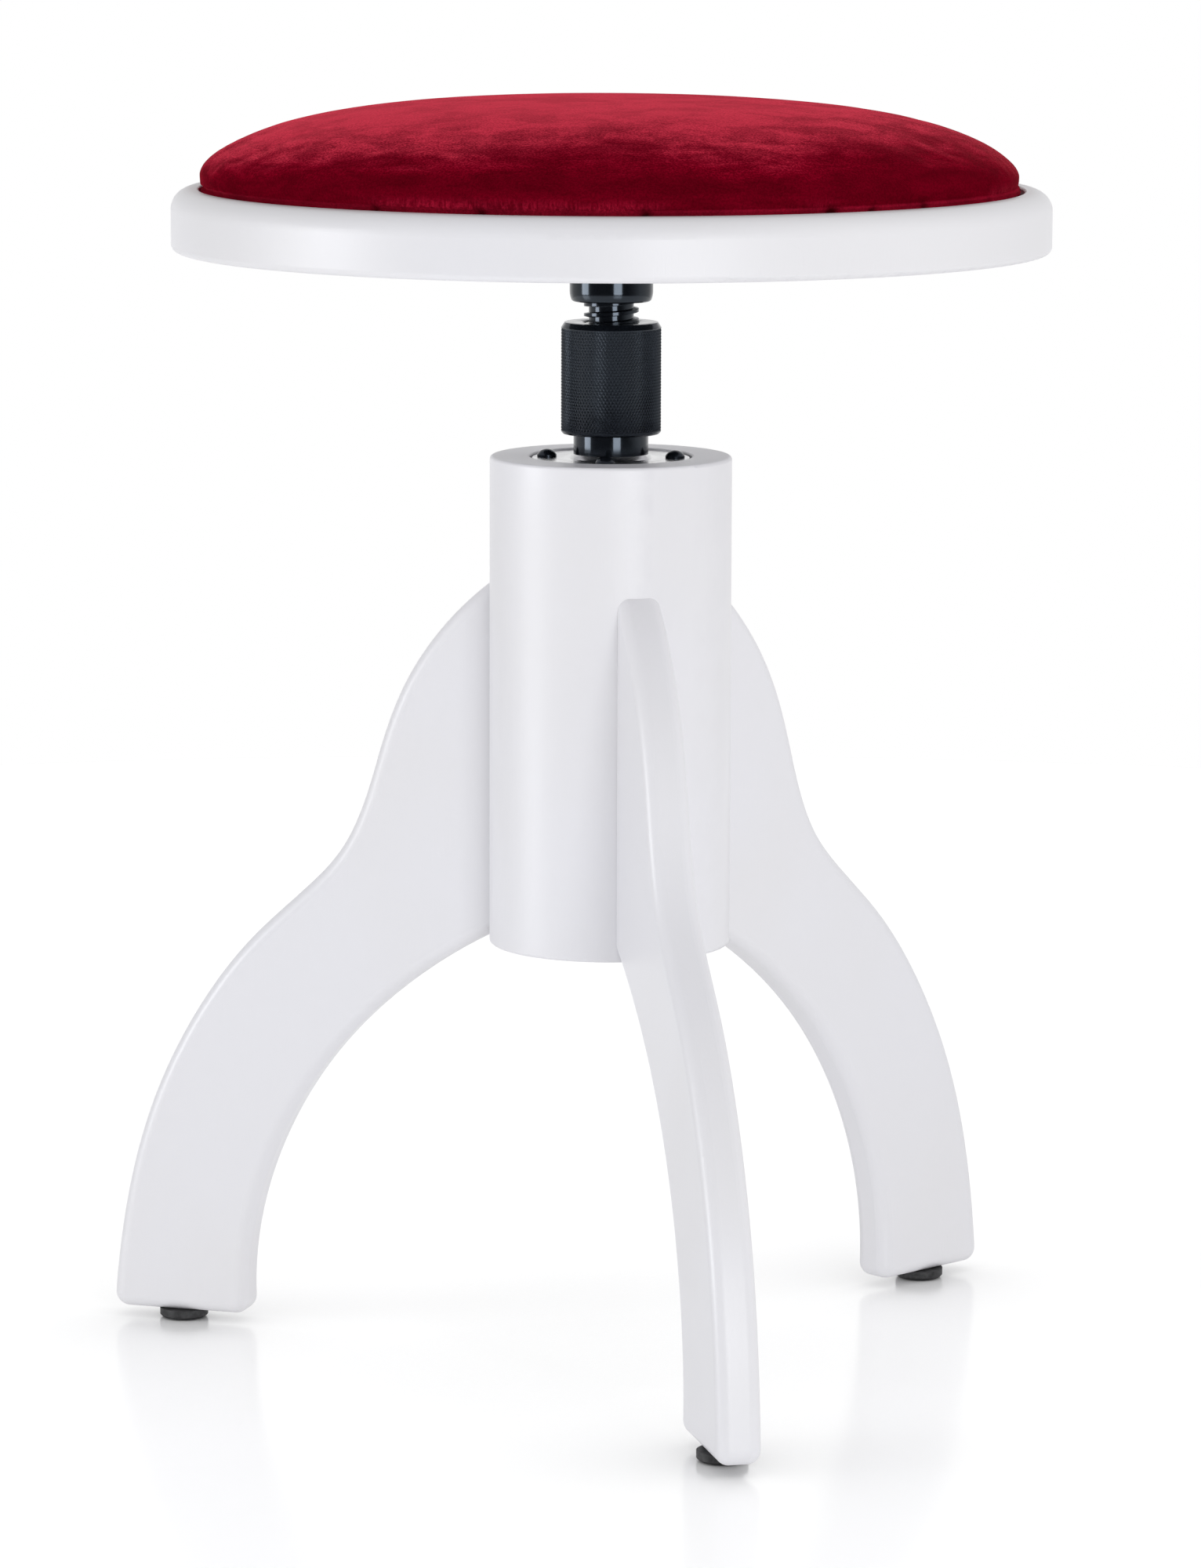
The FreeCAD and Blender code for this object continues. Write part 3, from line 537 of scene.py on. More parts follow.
def lacquer_material(settings):
    """Sprayed white satin lacquer: slow ripple, faint grain below it and softly rubbed edges."""
    material, tree, shader, place = new_material("White Lacquer")
    patches = use_group(tree, "unevenness", place, Slow_Scale=7.0, Fine_Scale=420.0,
                        Fine_Share=0.22)
    upright = add_vector_math(tree, "MULTIPLY", place, (1.0, 1.0, 0.09), "Along the Grain")
    grain = use_group(tree, "grain", upright, Ring_Scale=130.0, Pore_Scale=1500.0)
    wear = use_group(tree, "wear", place, Start=0.515, End=0.56, Scale=60.0)
    dust = use_group(tree, "dust", place, Scale=900.0, Amount=0.10)
    base = settings.color
    tone = add_mix(tree, patches["Tone"], base, tinted(base, (0.985, 0.98, 0.965)), "Slow Tone")
    edge = add_mix(tree, wear["Mask"], tone, tinted(base, (0.95, 0.945, 0.94)), "Rubbed Edges")
    satin = add_range(tree, patches["Tone"], 0.0, 1.0, settings.roughness - 0.04,
                      settings.roughness + 0.05, "Satin")
    relief = add_math(tree, "ADD", patches["Height"], times(tree, grain["Height"], 0.12))
    plug(tree, shader,
         Base_Color=add_mix(tree, dust["Mask"], edge, (0.62, 0.61, 0.6), "Dust"),
         Roughness=add_math(tree, "SUBTRACT", satin, times(tree, wear["Mask"], 0.08)),
         Normal=add_bump(tree, relief, 0.6, settings.ripple * 8, "Ripple"))
    return material


def gloss_steel_material(name, color, roughness):
    """Black gloss finish on turned steel, with handling marks and faint tool lines."""
    material, tree, shader, place = new_material(name)
    patches = use_group(tree, "unevenness", place, Slow_Scale=45.0, Fine_Scale=900.0,
                        Fine_Share=0.4)
    lines = use_group(tree, "lathe", round_coordinates(tree, place), Scale=4200.0)
    wear = use_group(tree, "wear", place, Start=0.55, End=0.7, Scale=240.0)
    dust = use_group(tree, "dust", place, Scale=1600.0, Amount=0.06)
    wear_and_highlight = add_mix(tree, wear["Mask"], color, (0.01, 0.012, 0.016), "Worn Edges")
    plug(tree, shader,
         Base_Color=add_mix(tree, dust["Mask"], wear_and_highlight, (0.05, 0.05, 0.05), "Dust"),
         Roughness=add_range(tree, patches["Tone"], 0.0, 1.0, roughness * 0.9,
                             roughness * 1.15, "Handling Marks"),
         IOR=1.55, Specular_Tint=(0.72, 0.84, 1.0, 1.0),
         Normal=add_bump(tree, lines["Height"], 0.2, 0.002 * MM, "Tool Lines"))
    return material


def knurl_material(color):
    """Matt black oxide on the knurl, rubbed brighter on the diamonds' tips."""
    material, tree, shader, place = new_material("Knurled Black Steel")
    patches = use_group(tree, "unevenness", place, Slow_Scale=120.0, Fine_Scale=2600.0,
                        Fine_Share=0.6)
    wear = use_group(tree, "wear", place, Start=0.5, End=0.58, Scale=500.0)
    tone = add_mix(tree, patches["Tone"], tinted(color, (0.6, 0.6, 0.65)),
                   tinted(color, (1.1, 1.1, 1.15)), "Oxide")
    plug(tree, shader,
         Base_Color=add_mix(tree, wear["Mask"], tone, (0.016, 0.019, 0.024), "Rubbed Tips"),
         Roughness=add_range(tree, patches["Tone"], 0.0, 1.0, 0.15, 0.22),
         Specular_Tint=(0.62, 0.74, 0.9, 1.0),
         Normal=add_bump(tree, patches["Height"], 0.4, 0.01 * MM))
    return material


def bright_steel_material(name, color=(0.56, 0.56, 0.575), roughness=0.28, scale=2600.0):
    """Zinc-plated or machined metal with turned lines."""
    material, tree, shader, place = new_material(name)
    lines = use_group(tree, "lathe", round_coordinates(tree, place), Scale=scale)
    patches = use_group(tree, "unevenness", place, Slow_Scale=60.0, Fine_Scale=1500.0,
                        Fine_Share=0.3)
    wear = use_group(tree, "wear", place, Start=0.53, End=0.62, Scale=300.0)
    tone = add_mix(tree, patches["Tone"], color, tinted(color, 0.8), "Dull Patches")
    plug(tree, shader,
         Base_Color=add_mix(tree, wear["Mask"], tone, tinted(color, 1.15), "Rubbed Edges"),
         Metallic=1.0,
         Roughness=add_range(tree, lines["Tone"], 0.0, 1.0, roughness * 0.8, roughness * 1.25),
         Normal=add_bump(tree, lines["Height"], 0.5, 0.01 * MM))
    return material


def plastic_material(name, color, roughness):
    """Moulded plastic with a fine spark-eroded grain, scuffed on its edges."""
    material, tree, shader, place = new_material(name)
    patches = use_group(tree, "unevenness", place, Slow_Scale=90.0, Fine_Scale=2400.0,
                        Fine_Share=1.0)
    wear = use_group(tree, "wear", place, Start=0.52, End=0.6, Scale=300.0)
    scuffed = tuple(min(c * 1.8 + 0.02, 1.0) for c in color)
    tone = add_mix(tree, patches["Tone"], color, tinted(color, 0.85))
    plug(tree, shader,
         Base_Color=add_mix(tree, wear["Mask"], tone, scuffed, "Scuffs"),
         Roughness=add_range(tree, patches["Tone"], 0.0, 1.0, roughness - 0.05,
                             roughness + 0.06),
         Normal=add_bump(tree, patches["Height"], 0.5, 0.03 * MM))
    return material


def wood_material(name, color, stretch):
    """Bare wood, its grain drawn out along the axis with the smallest stretch."""
    material, tree, shader, place = new_material(name)
    run = add_vector_math(tree, "MULTIPLY", place, stretch, "Along the Grain")
    grain = use_group(tree, "grain", run, Ring_Scale=220.0, Pore_Scale=1400.0)
    plug(tree, shader,
         Base_Color=add_mix(tree, grain["Tone"], tinted(color, 0.62), color, "Rings"),
         Roughness=add_range(tree, grain["Tone"], 0.0, 1.0, 0.62, 0.52),
         Normal=add_bump(tree, grain["Height"], 0.5, 0.08 * MM))
    return material


def velvet_material(settings):
    """Brushed velvet with fine tufts, lint and a fuzzy rolled hem, and painted sheen, painted
    light on the crown, a painted hem highlight and painted shade in the folds.
    """
    material, tree, shader, place = new_material("Red Velvet")
    dark, middle, light = settings.dark_color, settings.mid_color, settings.light_color
    waves = add_noise(tree, place, 16.0, 3.0, 0.55, 0.8, "Boundary Waves")
    patches = add_noise(tree, place, 95.0, 5.0, 0.6, 0.4, "Rubbed Patches")
    streaked = add_vector_math(tree, "MULTIPLY", place, (45.0, 45.0, 200.0))
    strokes = add_noise(tree, streaked, 1.0, 4.0, 0.6, 0.4, "Brush Strokes")
    tufts = add_noise(tree, place, 1250.0, 2.0, 0.7, 0.0, "Tufts")
    specks = add_range(tree, tufts, 0.36, 0.66, label="Tuft Contrast")
    pile = add_bump(tree, tufts, 0.6, 0.2 * MM, "Tufts")
    brushed = add_bump(tree, strokes, 0.3, 1.0 * MM, "Strokes", Normal=pile)
    # Painted sheen and painted light: the pile is lighter where it is seen at a glancing angle,
    # and darker where the surface stands upright, as on the rim.
    painted_sheen = add_node(tree, "ShaderNodeLayerWeight", "Painted Sheen", Blend=0.5,
                      Normal=brushed).outputs["Facing"]
    upright = split(tree, brushed)["Z"]
    level = add_math(tree, "SUBTRACT", 1.0, times(tree, upright, upright))
    steep_shade = add_math(tree, "SQRT", add_math(tree, "MAXIMUM", level, 0.0))
    # It is also darker towards the right, and lighter round one place at the front.
    across = add_vector_math(tree, "DOT_PRODUCT", place, (0.972, -0.236, 0), "Darker to the Right")
    away = add_vector_math(tree, "DISTANCE", place, (0.02, -0.14, HEM_TOP + 12 * MM))
    front_patch = add_range(tree, away, 50 * MM, 0.0, label="Lighter Patch at the Front")
    edges = add_range(tree, strokes, 0.35, 0.7, label="Stroke Edge")
    tone = 0.405
    for mask, weight in (
            (painted_sheen, 0.5), (steep_shade, -0.5), (across, -0.65), (front_patch, 0.12), (waves, 0.22),
            (patches, 0.14), (edges, 0.08), (specks, 0.09)):
        tone = add_math(tree, "ADD", tone, times(tree, mask, weight))
    ramp = add_node(tree, "ShaderNodeValToRGB", "Pile Colours", Fac=tone)
    first, last = ramp.color_ramp.elements
    first.position, first.color = 0.4, color4(tinted(dark, 0.93))
    last.position, last.color = 0.98, color4(light)
    for position, color in ((0.62, dark), (0.74, tinted(dark, 1.5)), (0.86, middle)):
        ramp.color_ramp.elements.new(position).color = color4(color)
    # The hem's mask paints a highlight in the middle red along the rolled hem, and also drives
    # its fuzzy bump.
    fuzz_and_highlight = hem_fuzz_and_highlight(tree, place, waves)
    edge = add_mix(tree, fuzz_and_highlight, ramp.outputs["Color"], middle, "Hem")
    grain = add_range(tree, tufts, 0.32, 0.68, 0.8, 1.2, "Pile Grain")
    smears = add_range(tree, strokes, 0.36, 0.6, 0.88, 1.14, "Smears")
    grained = add_mix(tree, 1.0, edge, times(tree, grain, smears), "Grained", "MULTIPLY")
    # Painted shade: the velvet is darkened where the puckers fold in.
    fold = add_node(tree, "ShaderNodeAttribute", "Fold")
    fold.attribute_name = "fold"
    fold_shaded = add_mix(tree, fold.outputs["Fac"], grained, tinted(dark, 0.35), "Painted Fold Shade")
    lint = use_group(tree, "dust", place, Scale=700.0, Amount=0.03)
    plug(tree, shader,
         Base_Color=add_mix(tree, lint["Mask"], fold_shaded, light, "Lint"),
         Roughness=add_range(tree, specks, 0.0, 1.0, 0.78, 0.95),
         Specular_IOR_Level=0.0, Sheen_Weight=0.35, Sheen_Roughness=0.2,
         Sheen_Tint=color4(settings.sheen_color),
         Normal=add_bump(tree, fuzz_and_highlight, 0.5, 0.5 * MM, "Fuzzy Hem", Normal=brushed))
    return material


def hem_fuzz_and_highlight(tree, place, waves):
    """A painted highlight along the hem in fuzzy streaks, most of it at the front left and
    brightest along the bottom; the same mask raises the hem's fuzzy bump.
    """
    height = split(tree, place)["Z"]
    hem = add_range(tree, height, HEM_TOP + 7.0 * MM, HEM_TOP + 2.2 * MM, label="Rolled Hem")
    threads = add_vector_math(tree, "MULTIPLY", place, (900.0, 900.0, 260.0))
    fringe = add_noise(tree, threads, 1.0, 3.0, 0.6, 0.0, "Fuzzy Streaks")
    facing = add_vector_math(tree, "DOT_PRODUCT", place, (-0.46, -0.89, 0), "Front Left")
    front = add_range(tree, facing, 0.149, 0.158, label="Highlight Stretch")
    elsewhere = add_range(tree, waves, 0.5, 0.68, 0.0, 0.6)
    wear_and_highlight = times(tree, add_range(tree, fringe, 0.36, 0.66, 0.15, 0.95),
                 add_math(tree, "MAXIMUM", front, elsewhere))
    lip = add_range(tree, height, HEM_TOP + 2.4 * MM, HEM_TOP + 1.4 * MM, 0.0, 0.6, "Painted Lip Highlight")
    return add_math(tree, "MAXIMUM", lip, times(tree, hem, wear_and_highlight))


# Operators


class PIANO_STOOL_OT_camera(bpy.types.Operator):
    """Place the camera where the picture is taken from"""

    bl_idname = "piano_stool.camera"
    bl_label = "Place Camera"

    def execute(self, context):
        settings = context.scene.piano_stool_camera
        data = bpy.data.cameras.new("Camera")
        data.sensor_fit = "AUTO"
        data.sensor_width = 36
        data.lens = settings.lens
        data.clip_start = 0.05
        data.clip_end = 100
        camera = bpy.data.objects.new("Camera", data)
        context.scene.collection.objects.link(camera)
        turn = Matrix.Rotation(settings.turn, 4, "Z")
        tilt = Matrix.Rotation(settings.tilt, 4, "X")
        roll = Matrix.Rotation(settings.roll, 4, "Z")
        camera.matrix_world = Matrix.Translation(settings.location) @ turn @ tilt @ roll
        context.scene.camera = camera
        return {"FINISHED"}


class PIANO_STOOL_OT_studio(bpy.types.Operator):
    """Lay the pale floor, light the room round it and stand up the soft lamps"""

    bl_idname = "piano_stool.studio"
    bl_label = "Build Studio"

    # Each lamp's bearing from the stool, to the right of the camera
    LEFT_BEARING = math.radians(-77)
    FRONT_BEARING = math.radians(18)

    def execute(self, context):
        settings = context.scene.piano_stool_studio
        heading = context.scene.piano_stool_camera.turn
        self.lay_floor(settings)
        context.scene.world = self.light_room(settings, heading)
        self.stand_lamp(settings, "Left Strip", heading + self.LEFT_BEARING,
                        settings.left_strip_power)
        self.stand_lamp(settings, "Front Strip", heading + self.FRONT_BEARING,
                        settings.front_strip_power)
        context.scene.view_settings.view_transform = "Standard"
        return {"FINISHED"}

    def lay_floor(self, settings):
        columns = 96
        rings = (0.02, 0.2, 0.45, 0.7, 0.9, 1.0)
        profile = [(settings.floor_radius * ring, 0) for ring in rings]
        points = lathe_points(profile, columns)
        faces = lathe_faces(len(profile), columns) + [tuple(range(columns))[::-1]]
        floor = new_object("studio_floor", points, [tuple(reversed(f)) for f in faces])
        dress(floor, self.floor_material(settings))

    def floor_material(self, settings):
        """Pale gloss that also glows, whiter to the camera than to the stool above it, with a
        painted shadow where the glow fades round the feet.
        """
        material, tree, shader, place = new_material("Pale Floor")
        base = settings.floor_color
        tone = add_noise(tree, place, 3.0, label="Floor Tone")
        plug(tree, shader, Base_Color=add_mix(tree, tone, base, tinted(base, 0.985)),
             Roughness=settings.floor_roughness, IOR=2.6)
        # Painted shadow: the glow that the camera sees fades near the stool's feet.
        contact = add_node(tree, "ShaderNodeAmbientOcclusion", "Painted Contact Shadow",
                           Distance=settings.contact_reach).outputs["AO"]
        white = times(tree, add_math(tree, "POWER", contact, 1.6), settings.floor_glow)
        strength = blend_numbers(tree, seen_rays(tree), settings.floor_fill, white)
        glow = add_node(tree, "ShaderNodeEmission", "Seen White", Strength=strength)
        both = add_node(tree, "ShaderNodeAddShader")
        tree.links.new(shader.outputs["BSDF"], both.inputs[0])
        tree.links.new(glow.outputs["Emission"], both.inputs[1])
        plug(tree, tree.nodes["Material Output"], Surface=both.outputs["Shader"])
        arrange(tree)
        return material

    def light_room(self, settings, heading):
        """White to the camera, soft light on the stool, and a darker room in its gloss."""
        world = bpy.data.worlds.new("Studio Room")
        world.use_nodes = True
        tree = world.node_tree
        place = add_node(tree, "ShaderNodeTexCoord").outputs["Generated"]
        away = (-math.sin(heading), math.cos(heading), 0)
        sideways = (math.cos(heading), math.sin(heading), 0)
        behind = add_vector_math(tree, "DOT_PRODUCT", place, away, "Away from the Camera")
        right = add_vector_math(tree, "DOT_PRODUCT", place, sideways, "To the Right")
        upward = add_vector_math(tree, "DOT_PRODUCT", place, (0, 0, 1), "Upward")
        fill = add_range(tree, behind, -1.0, 0.2, settings.fill_front, settings.fill_side,
                         "Soft Light")
        leaning = times(tree, right, settings.fill_lean)
        overhead = add_range(tree, upward, 0.2, 1.0, 1.0, settings.fill_top, "Overhead")
        lit = times(tree, overhead, add_math(tree, "ADD", fill, leaning))
        backdrop = add_range(tree, behind, 0.55, 0.96, label="White Backdrop")
        room = add_range(tree, behind, -0.75, 0.1, settings.room_front, settings.room_side,
                         "Seen in Gloss")
        mirrored = blend_numbers(tree, backdrop, room, 1.0)
        rays = add_node(tree, "ShaderNodeLightPath").outputs
        through = add_math(tree, "MAXIMUM", rays["Is Camera Ray"], rays["Is Transmission Ray"])
        light = blend_numbers(tree, rays["Is Glossy Ray"], lit, mirrored)
        plug(tree, tree.nodes["Background"], Color=(1, 1, 1, 1),
             Strength=blend_numbers(tree, through, light, 1.0))
        arrange(tree)
        return world

    def stand_lamp(self, settings, name, bearing, power):
        """An upright strip lamp at a bearing from the stool, facing it."""
        data = bpy.data.lights.new(name, "AREA")
        data.shape = "RECTANGLE"
        data.size = settings.strip_width
        data.size_y = settings.strip_height
        data.energy = power
        data.color = (0.97, 0.985, 1.0)
        lamp = bpy.data.objects.new(name, data)
        bpy.context.scene.collection.objects.link(lamp)
        away = Vector((math.sin(bearing), -math.cos(bearing), 0))
        lamp.location = away * settings.strip_distance
        lamp.location.z = settings.strip_height / 2 + 20 * MM
        lamp.rotation_euler = away.to_track_quat("Z", "Y").to_euler()
        lamp.visible_camera = False


class PIANO_STOOL_OT_materials(bpy.types.Operator):
    """Make the finishes that the stool's pieces share"""

    bl_idname = "piano_stool.materials"
    bl_label = "Make Finishes"

    def execute(self, context):
        steel = context.scene.piano_stool_steel
        groups.update(unevenness=unevenness_group(), wear=wear_group(), dust=dust_group(),
                      grain=grain_group(), lathe=lathe_group())
        materials.update(
            lacquer=lacquer_material(context.scene.piano_stool_lacquer),
            gloss=gloss_steel_material("Gloss Black Steel", steel.color, steel.roughness),
            screws=gloss_steel_material("Black Screws", steel.color, 0.2),
            knurl=knurl_material(steel.color),
            zinc=bright_steel_material("Zinc Plate"),
            plate=bright_steel_material("Pale Flange", (0.7, 0.7, 0.71), 0.24, 1800.0),
            brass=bright_steel_material("Turned Brass", (0.72, 0.5, 0.2), 0.22),
            glide=plastic_material("Black Glide", (0.012, 0.012, 0.013), 0.5),
            bush=plastic_material("Pale Bush", (0.75, 0.74, 0.7), 0.4),
            beech=wood_material("Beech", (0.62, 0.42, 0.24), (0.1, 1.0, 1.0)),
            plywood=wood_material("Plywood", (0.58, 0.44, 0.28), (0.08, 0.5, 3.0)),
            velvet=velvet_material(context.scene.piano_stool_cushion))
        for group in groups.values():
            arrange(group)
        for material in materials.values():
            arrange(material.node_tree)
        return {"FINISHED"}


class PIANO_STOOL_OT_wood(bpy.types.Operator):
    """Lacquer the column, the legs and the seat's disc, and finish the wood inside"""

    bl_idname = "piano_stool.wood"
    bl_label = "Finish Wood"

    def execute(self, context):
        dress_nodes("lacquer", "column", "leg_right", "leg_left", "leg_front", "seat_disc")
        dress_nodes("beech", "leg_dowels")
        dress_nodes("plywood", "cushion_board")
        return {"FINISHED"}


class PIANO_STOOL_OT_metal(bpy.types.Operator):
    """Finish the spindle, the tube, the hub, the plates, the nut and the screws"""

    bl_idname = "piano_stool.metal"
    bl_label = "Finish Metal"

    def execute(self, context):
        dress_nodes("gloss", "guide_tube", "spindle", "spindle_hub", "seat_plate")
        dress_nodes("screws", "flange_screws", "plate_screws")
        dress_nodes("zinc", "lock_washer", "end_washer", "end_screw", "hub_washer", "hub_bolt",
                    "cushion_screws", "glide_nails")
        dress_nodes("plate", "flange_plate")
        dress_nodes("brass", "lift_nut")
        return {"FINISHED"}


class PIANO_STOOL_OT_plastic(bpy.types.Operator):
    """Finish the glides under the feet and the bush that guides the spindle"""

    bl_idname = "piano_stool.plastic"
    bl_label = "Finish Plastic"

    def execute(self, context):
        dress_nodes("glide", "glide_right", "glide_left", "glide_front")
        dress_nodes("bush", "guide_bush")
        return {"FINISHED"}


class PIANO_STOOL_OT_sleeve(bpy.types.Operator):
    """Turn the lock sleeve with its chamfers and cut the diamond knurl round it"""

    bl_idname = "piano_stool.sleeve"
    bl_label = "Build Knurled Sleeve"

    def execute(self, context):
        settings = context.scene.piano_stool_steel
        columns = settings.knurl_count * DIAMOND_STEPS
        band_low, band_high = sleeve_low.z + PLAIN_FOOT, sleeve_high.z - PLAIN_HEAD
        sleeve = self.cut_knurl(settings, band_low, band_high, columns)
        ends = self.turn_ends(band_low, band_high, columns)
        dress(sleeve, materials["knurl"])
        dress(ends, materials["gloss"])
        for piece in (sleeve, ends):
            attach(piece, "lock")
        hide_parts("lock_sleeve")
        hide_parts("lock_sleeve")
        return {"FINISHED"}

    def cut_knurl(self, settings, band_low, band_high, columns):
        """The band of diamonds, its grooves run out at the two ends."""
        rows = round((band_high - band_low) / (settings.knurl_rise / DIAMOND_STEPS)) + 1
        column, row = np.meshgrid(np.arange(columns), np.arange(rows))
        first, second = (column + row) / DIAMOND_STEPS % 1, (column - row) / DIAMOND_STEPS % 1
        ridge = np.minimum(np.minimum(first, 1 - first), np.minimum(second, 1 - second)) * 2
        run_out = np.clip(np.minimum(row, rows - 1 - row), 0, 1)
        radii = sleeve_high.x - settings.knurl_depth * (1 - ridge) * run_out
        angles = np.linspace(0, 2 * math.pi, columns, endpoint=False)
        levels = np.broadcast_to(np.linspace(band_low, band_high, rows)[:, None], radii.shape)
        points = np.stack([radii * np.cos(angles), radii * np.sin(angles), levels], axis=-1)
        faces = []
        for here, beside, across, above in lathe_faces(rows, columns):
            # Each quad is split along its groove.
            if (here % columns - here // columns) % 2 == 0:
                faces += [(here, beside, across), (here, across, above)]
            else:
                faces += [(here, beside, above), (beside, across, above)]
        return new_object("lock_sleeve_knurled", points.reshape(-1, 3).tolist(), faces,
                          smooth=False)

    def turn_ends(self, band_low, band_high, columns):
        """The plain rims, chamfers, top face, bore and skirt that the knurl joins."""
        low, high, radius = sleeve_low.z, sleeve_high.z, sleeve_high.x
        bore, skirt, shoulder = SLEEVE_BORE, SLEEVE_SKIRT_BORE, high - SLEEVE_BORE_DEPTH
        profile = [
            # Up from the knurl, over the chamfered head and into the bore
            (radius, band_high),
            (radius - 0.25 * MM, band_high + 0.42 * MM),
            (radius - 1.22 * MM, high - 0.18 * MM),
            (radius - 1.30 * MM, high - 0.05 * MM),
            (radius - 1.46 * MM, high),
            (bore + 0.5 * MM, high),
            (bore + 0.14 * MM, high - 0.14 * MM),
            (bore, high - 0.5 * MM),
            # Down the bore and the wider skirt, and round the foot back to the knurl
            (bore, shoulder),
            (skirt, shoulder),
            (skirt, low + 0.4 * MM),
            (skirt + 0.3 * MM, low),
            (radius - 0.75 * MM, low),
            (radius - 0.1 * MM, low + 0.62 * MM),
            (radius, band_low),
        ]
        points = lathe_points(profile, columns)
        faces = [tuple(reversed(f)) for f in lathe_faces(len(profile), columns)]
        ends = new_object("lock_sleeve_ends", points, faces)
        ends.data.set_sharp_from_angle(angle=SHARP_EDGE)
        return ends


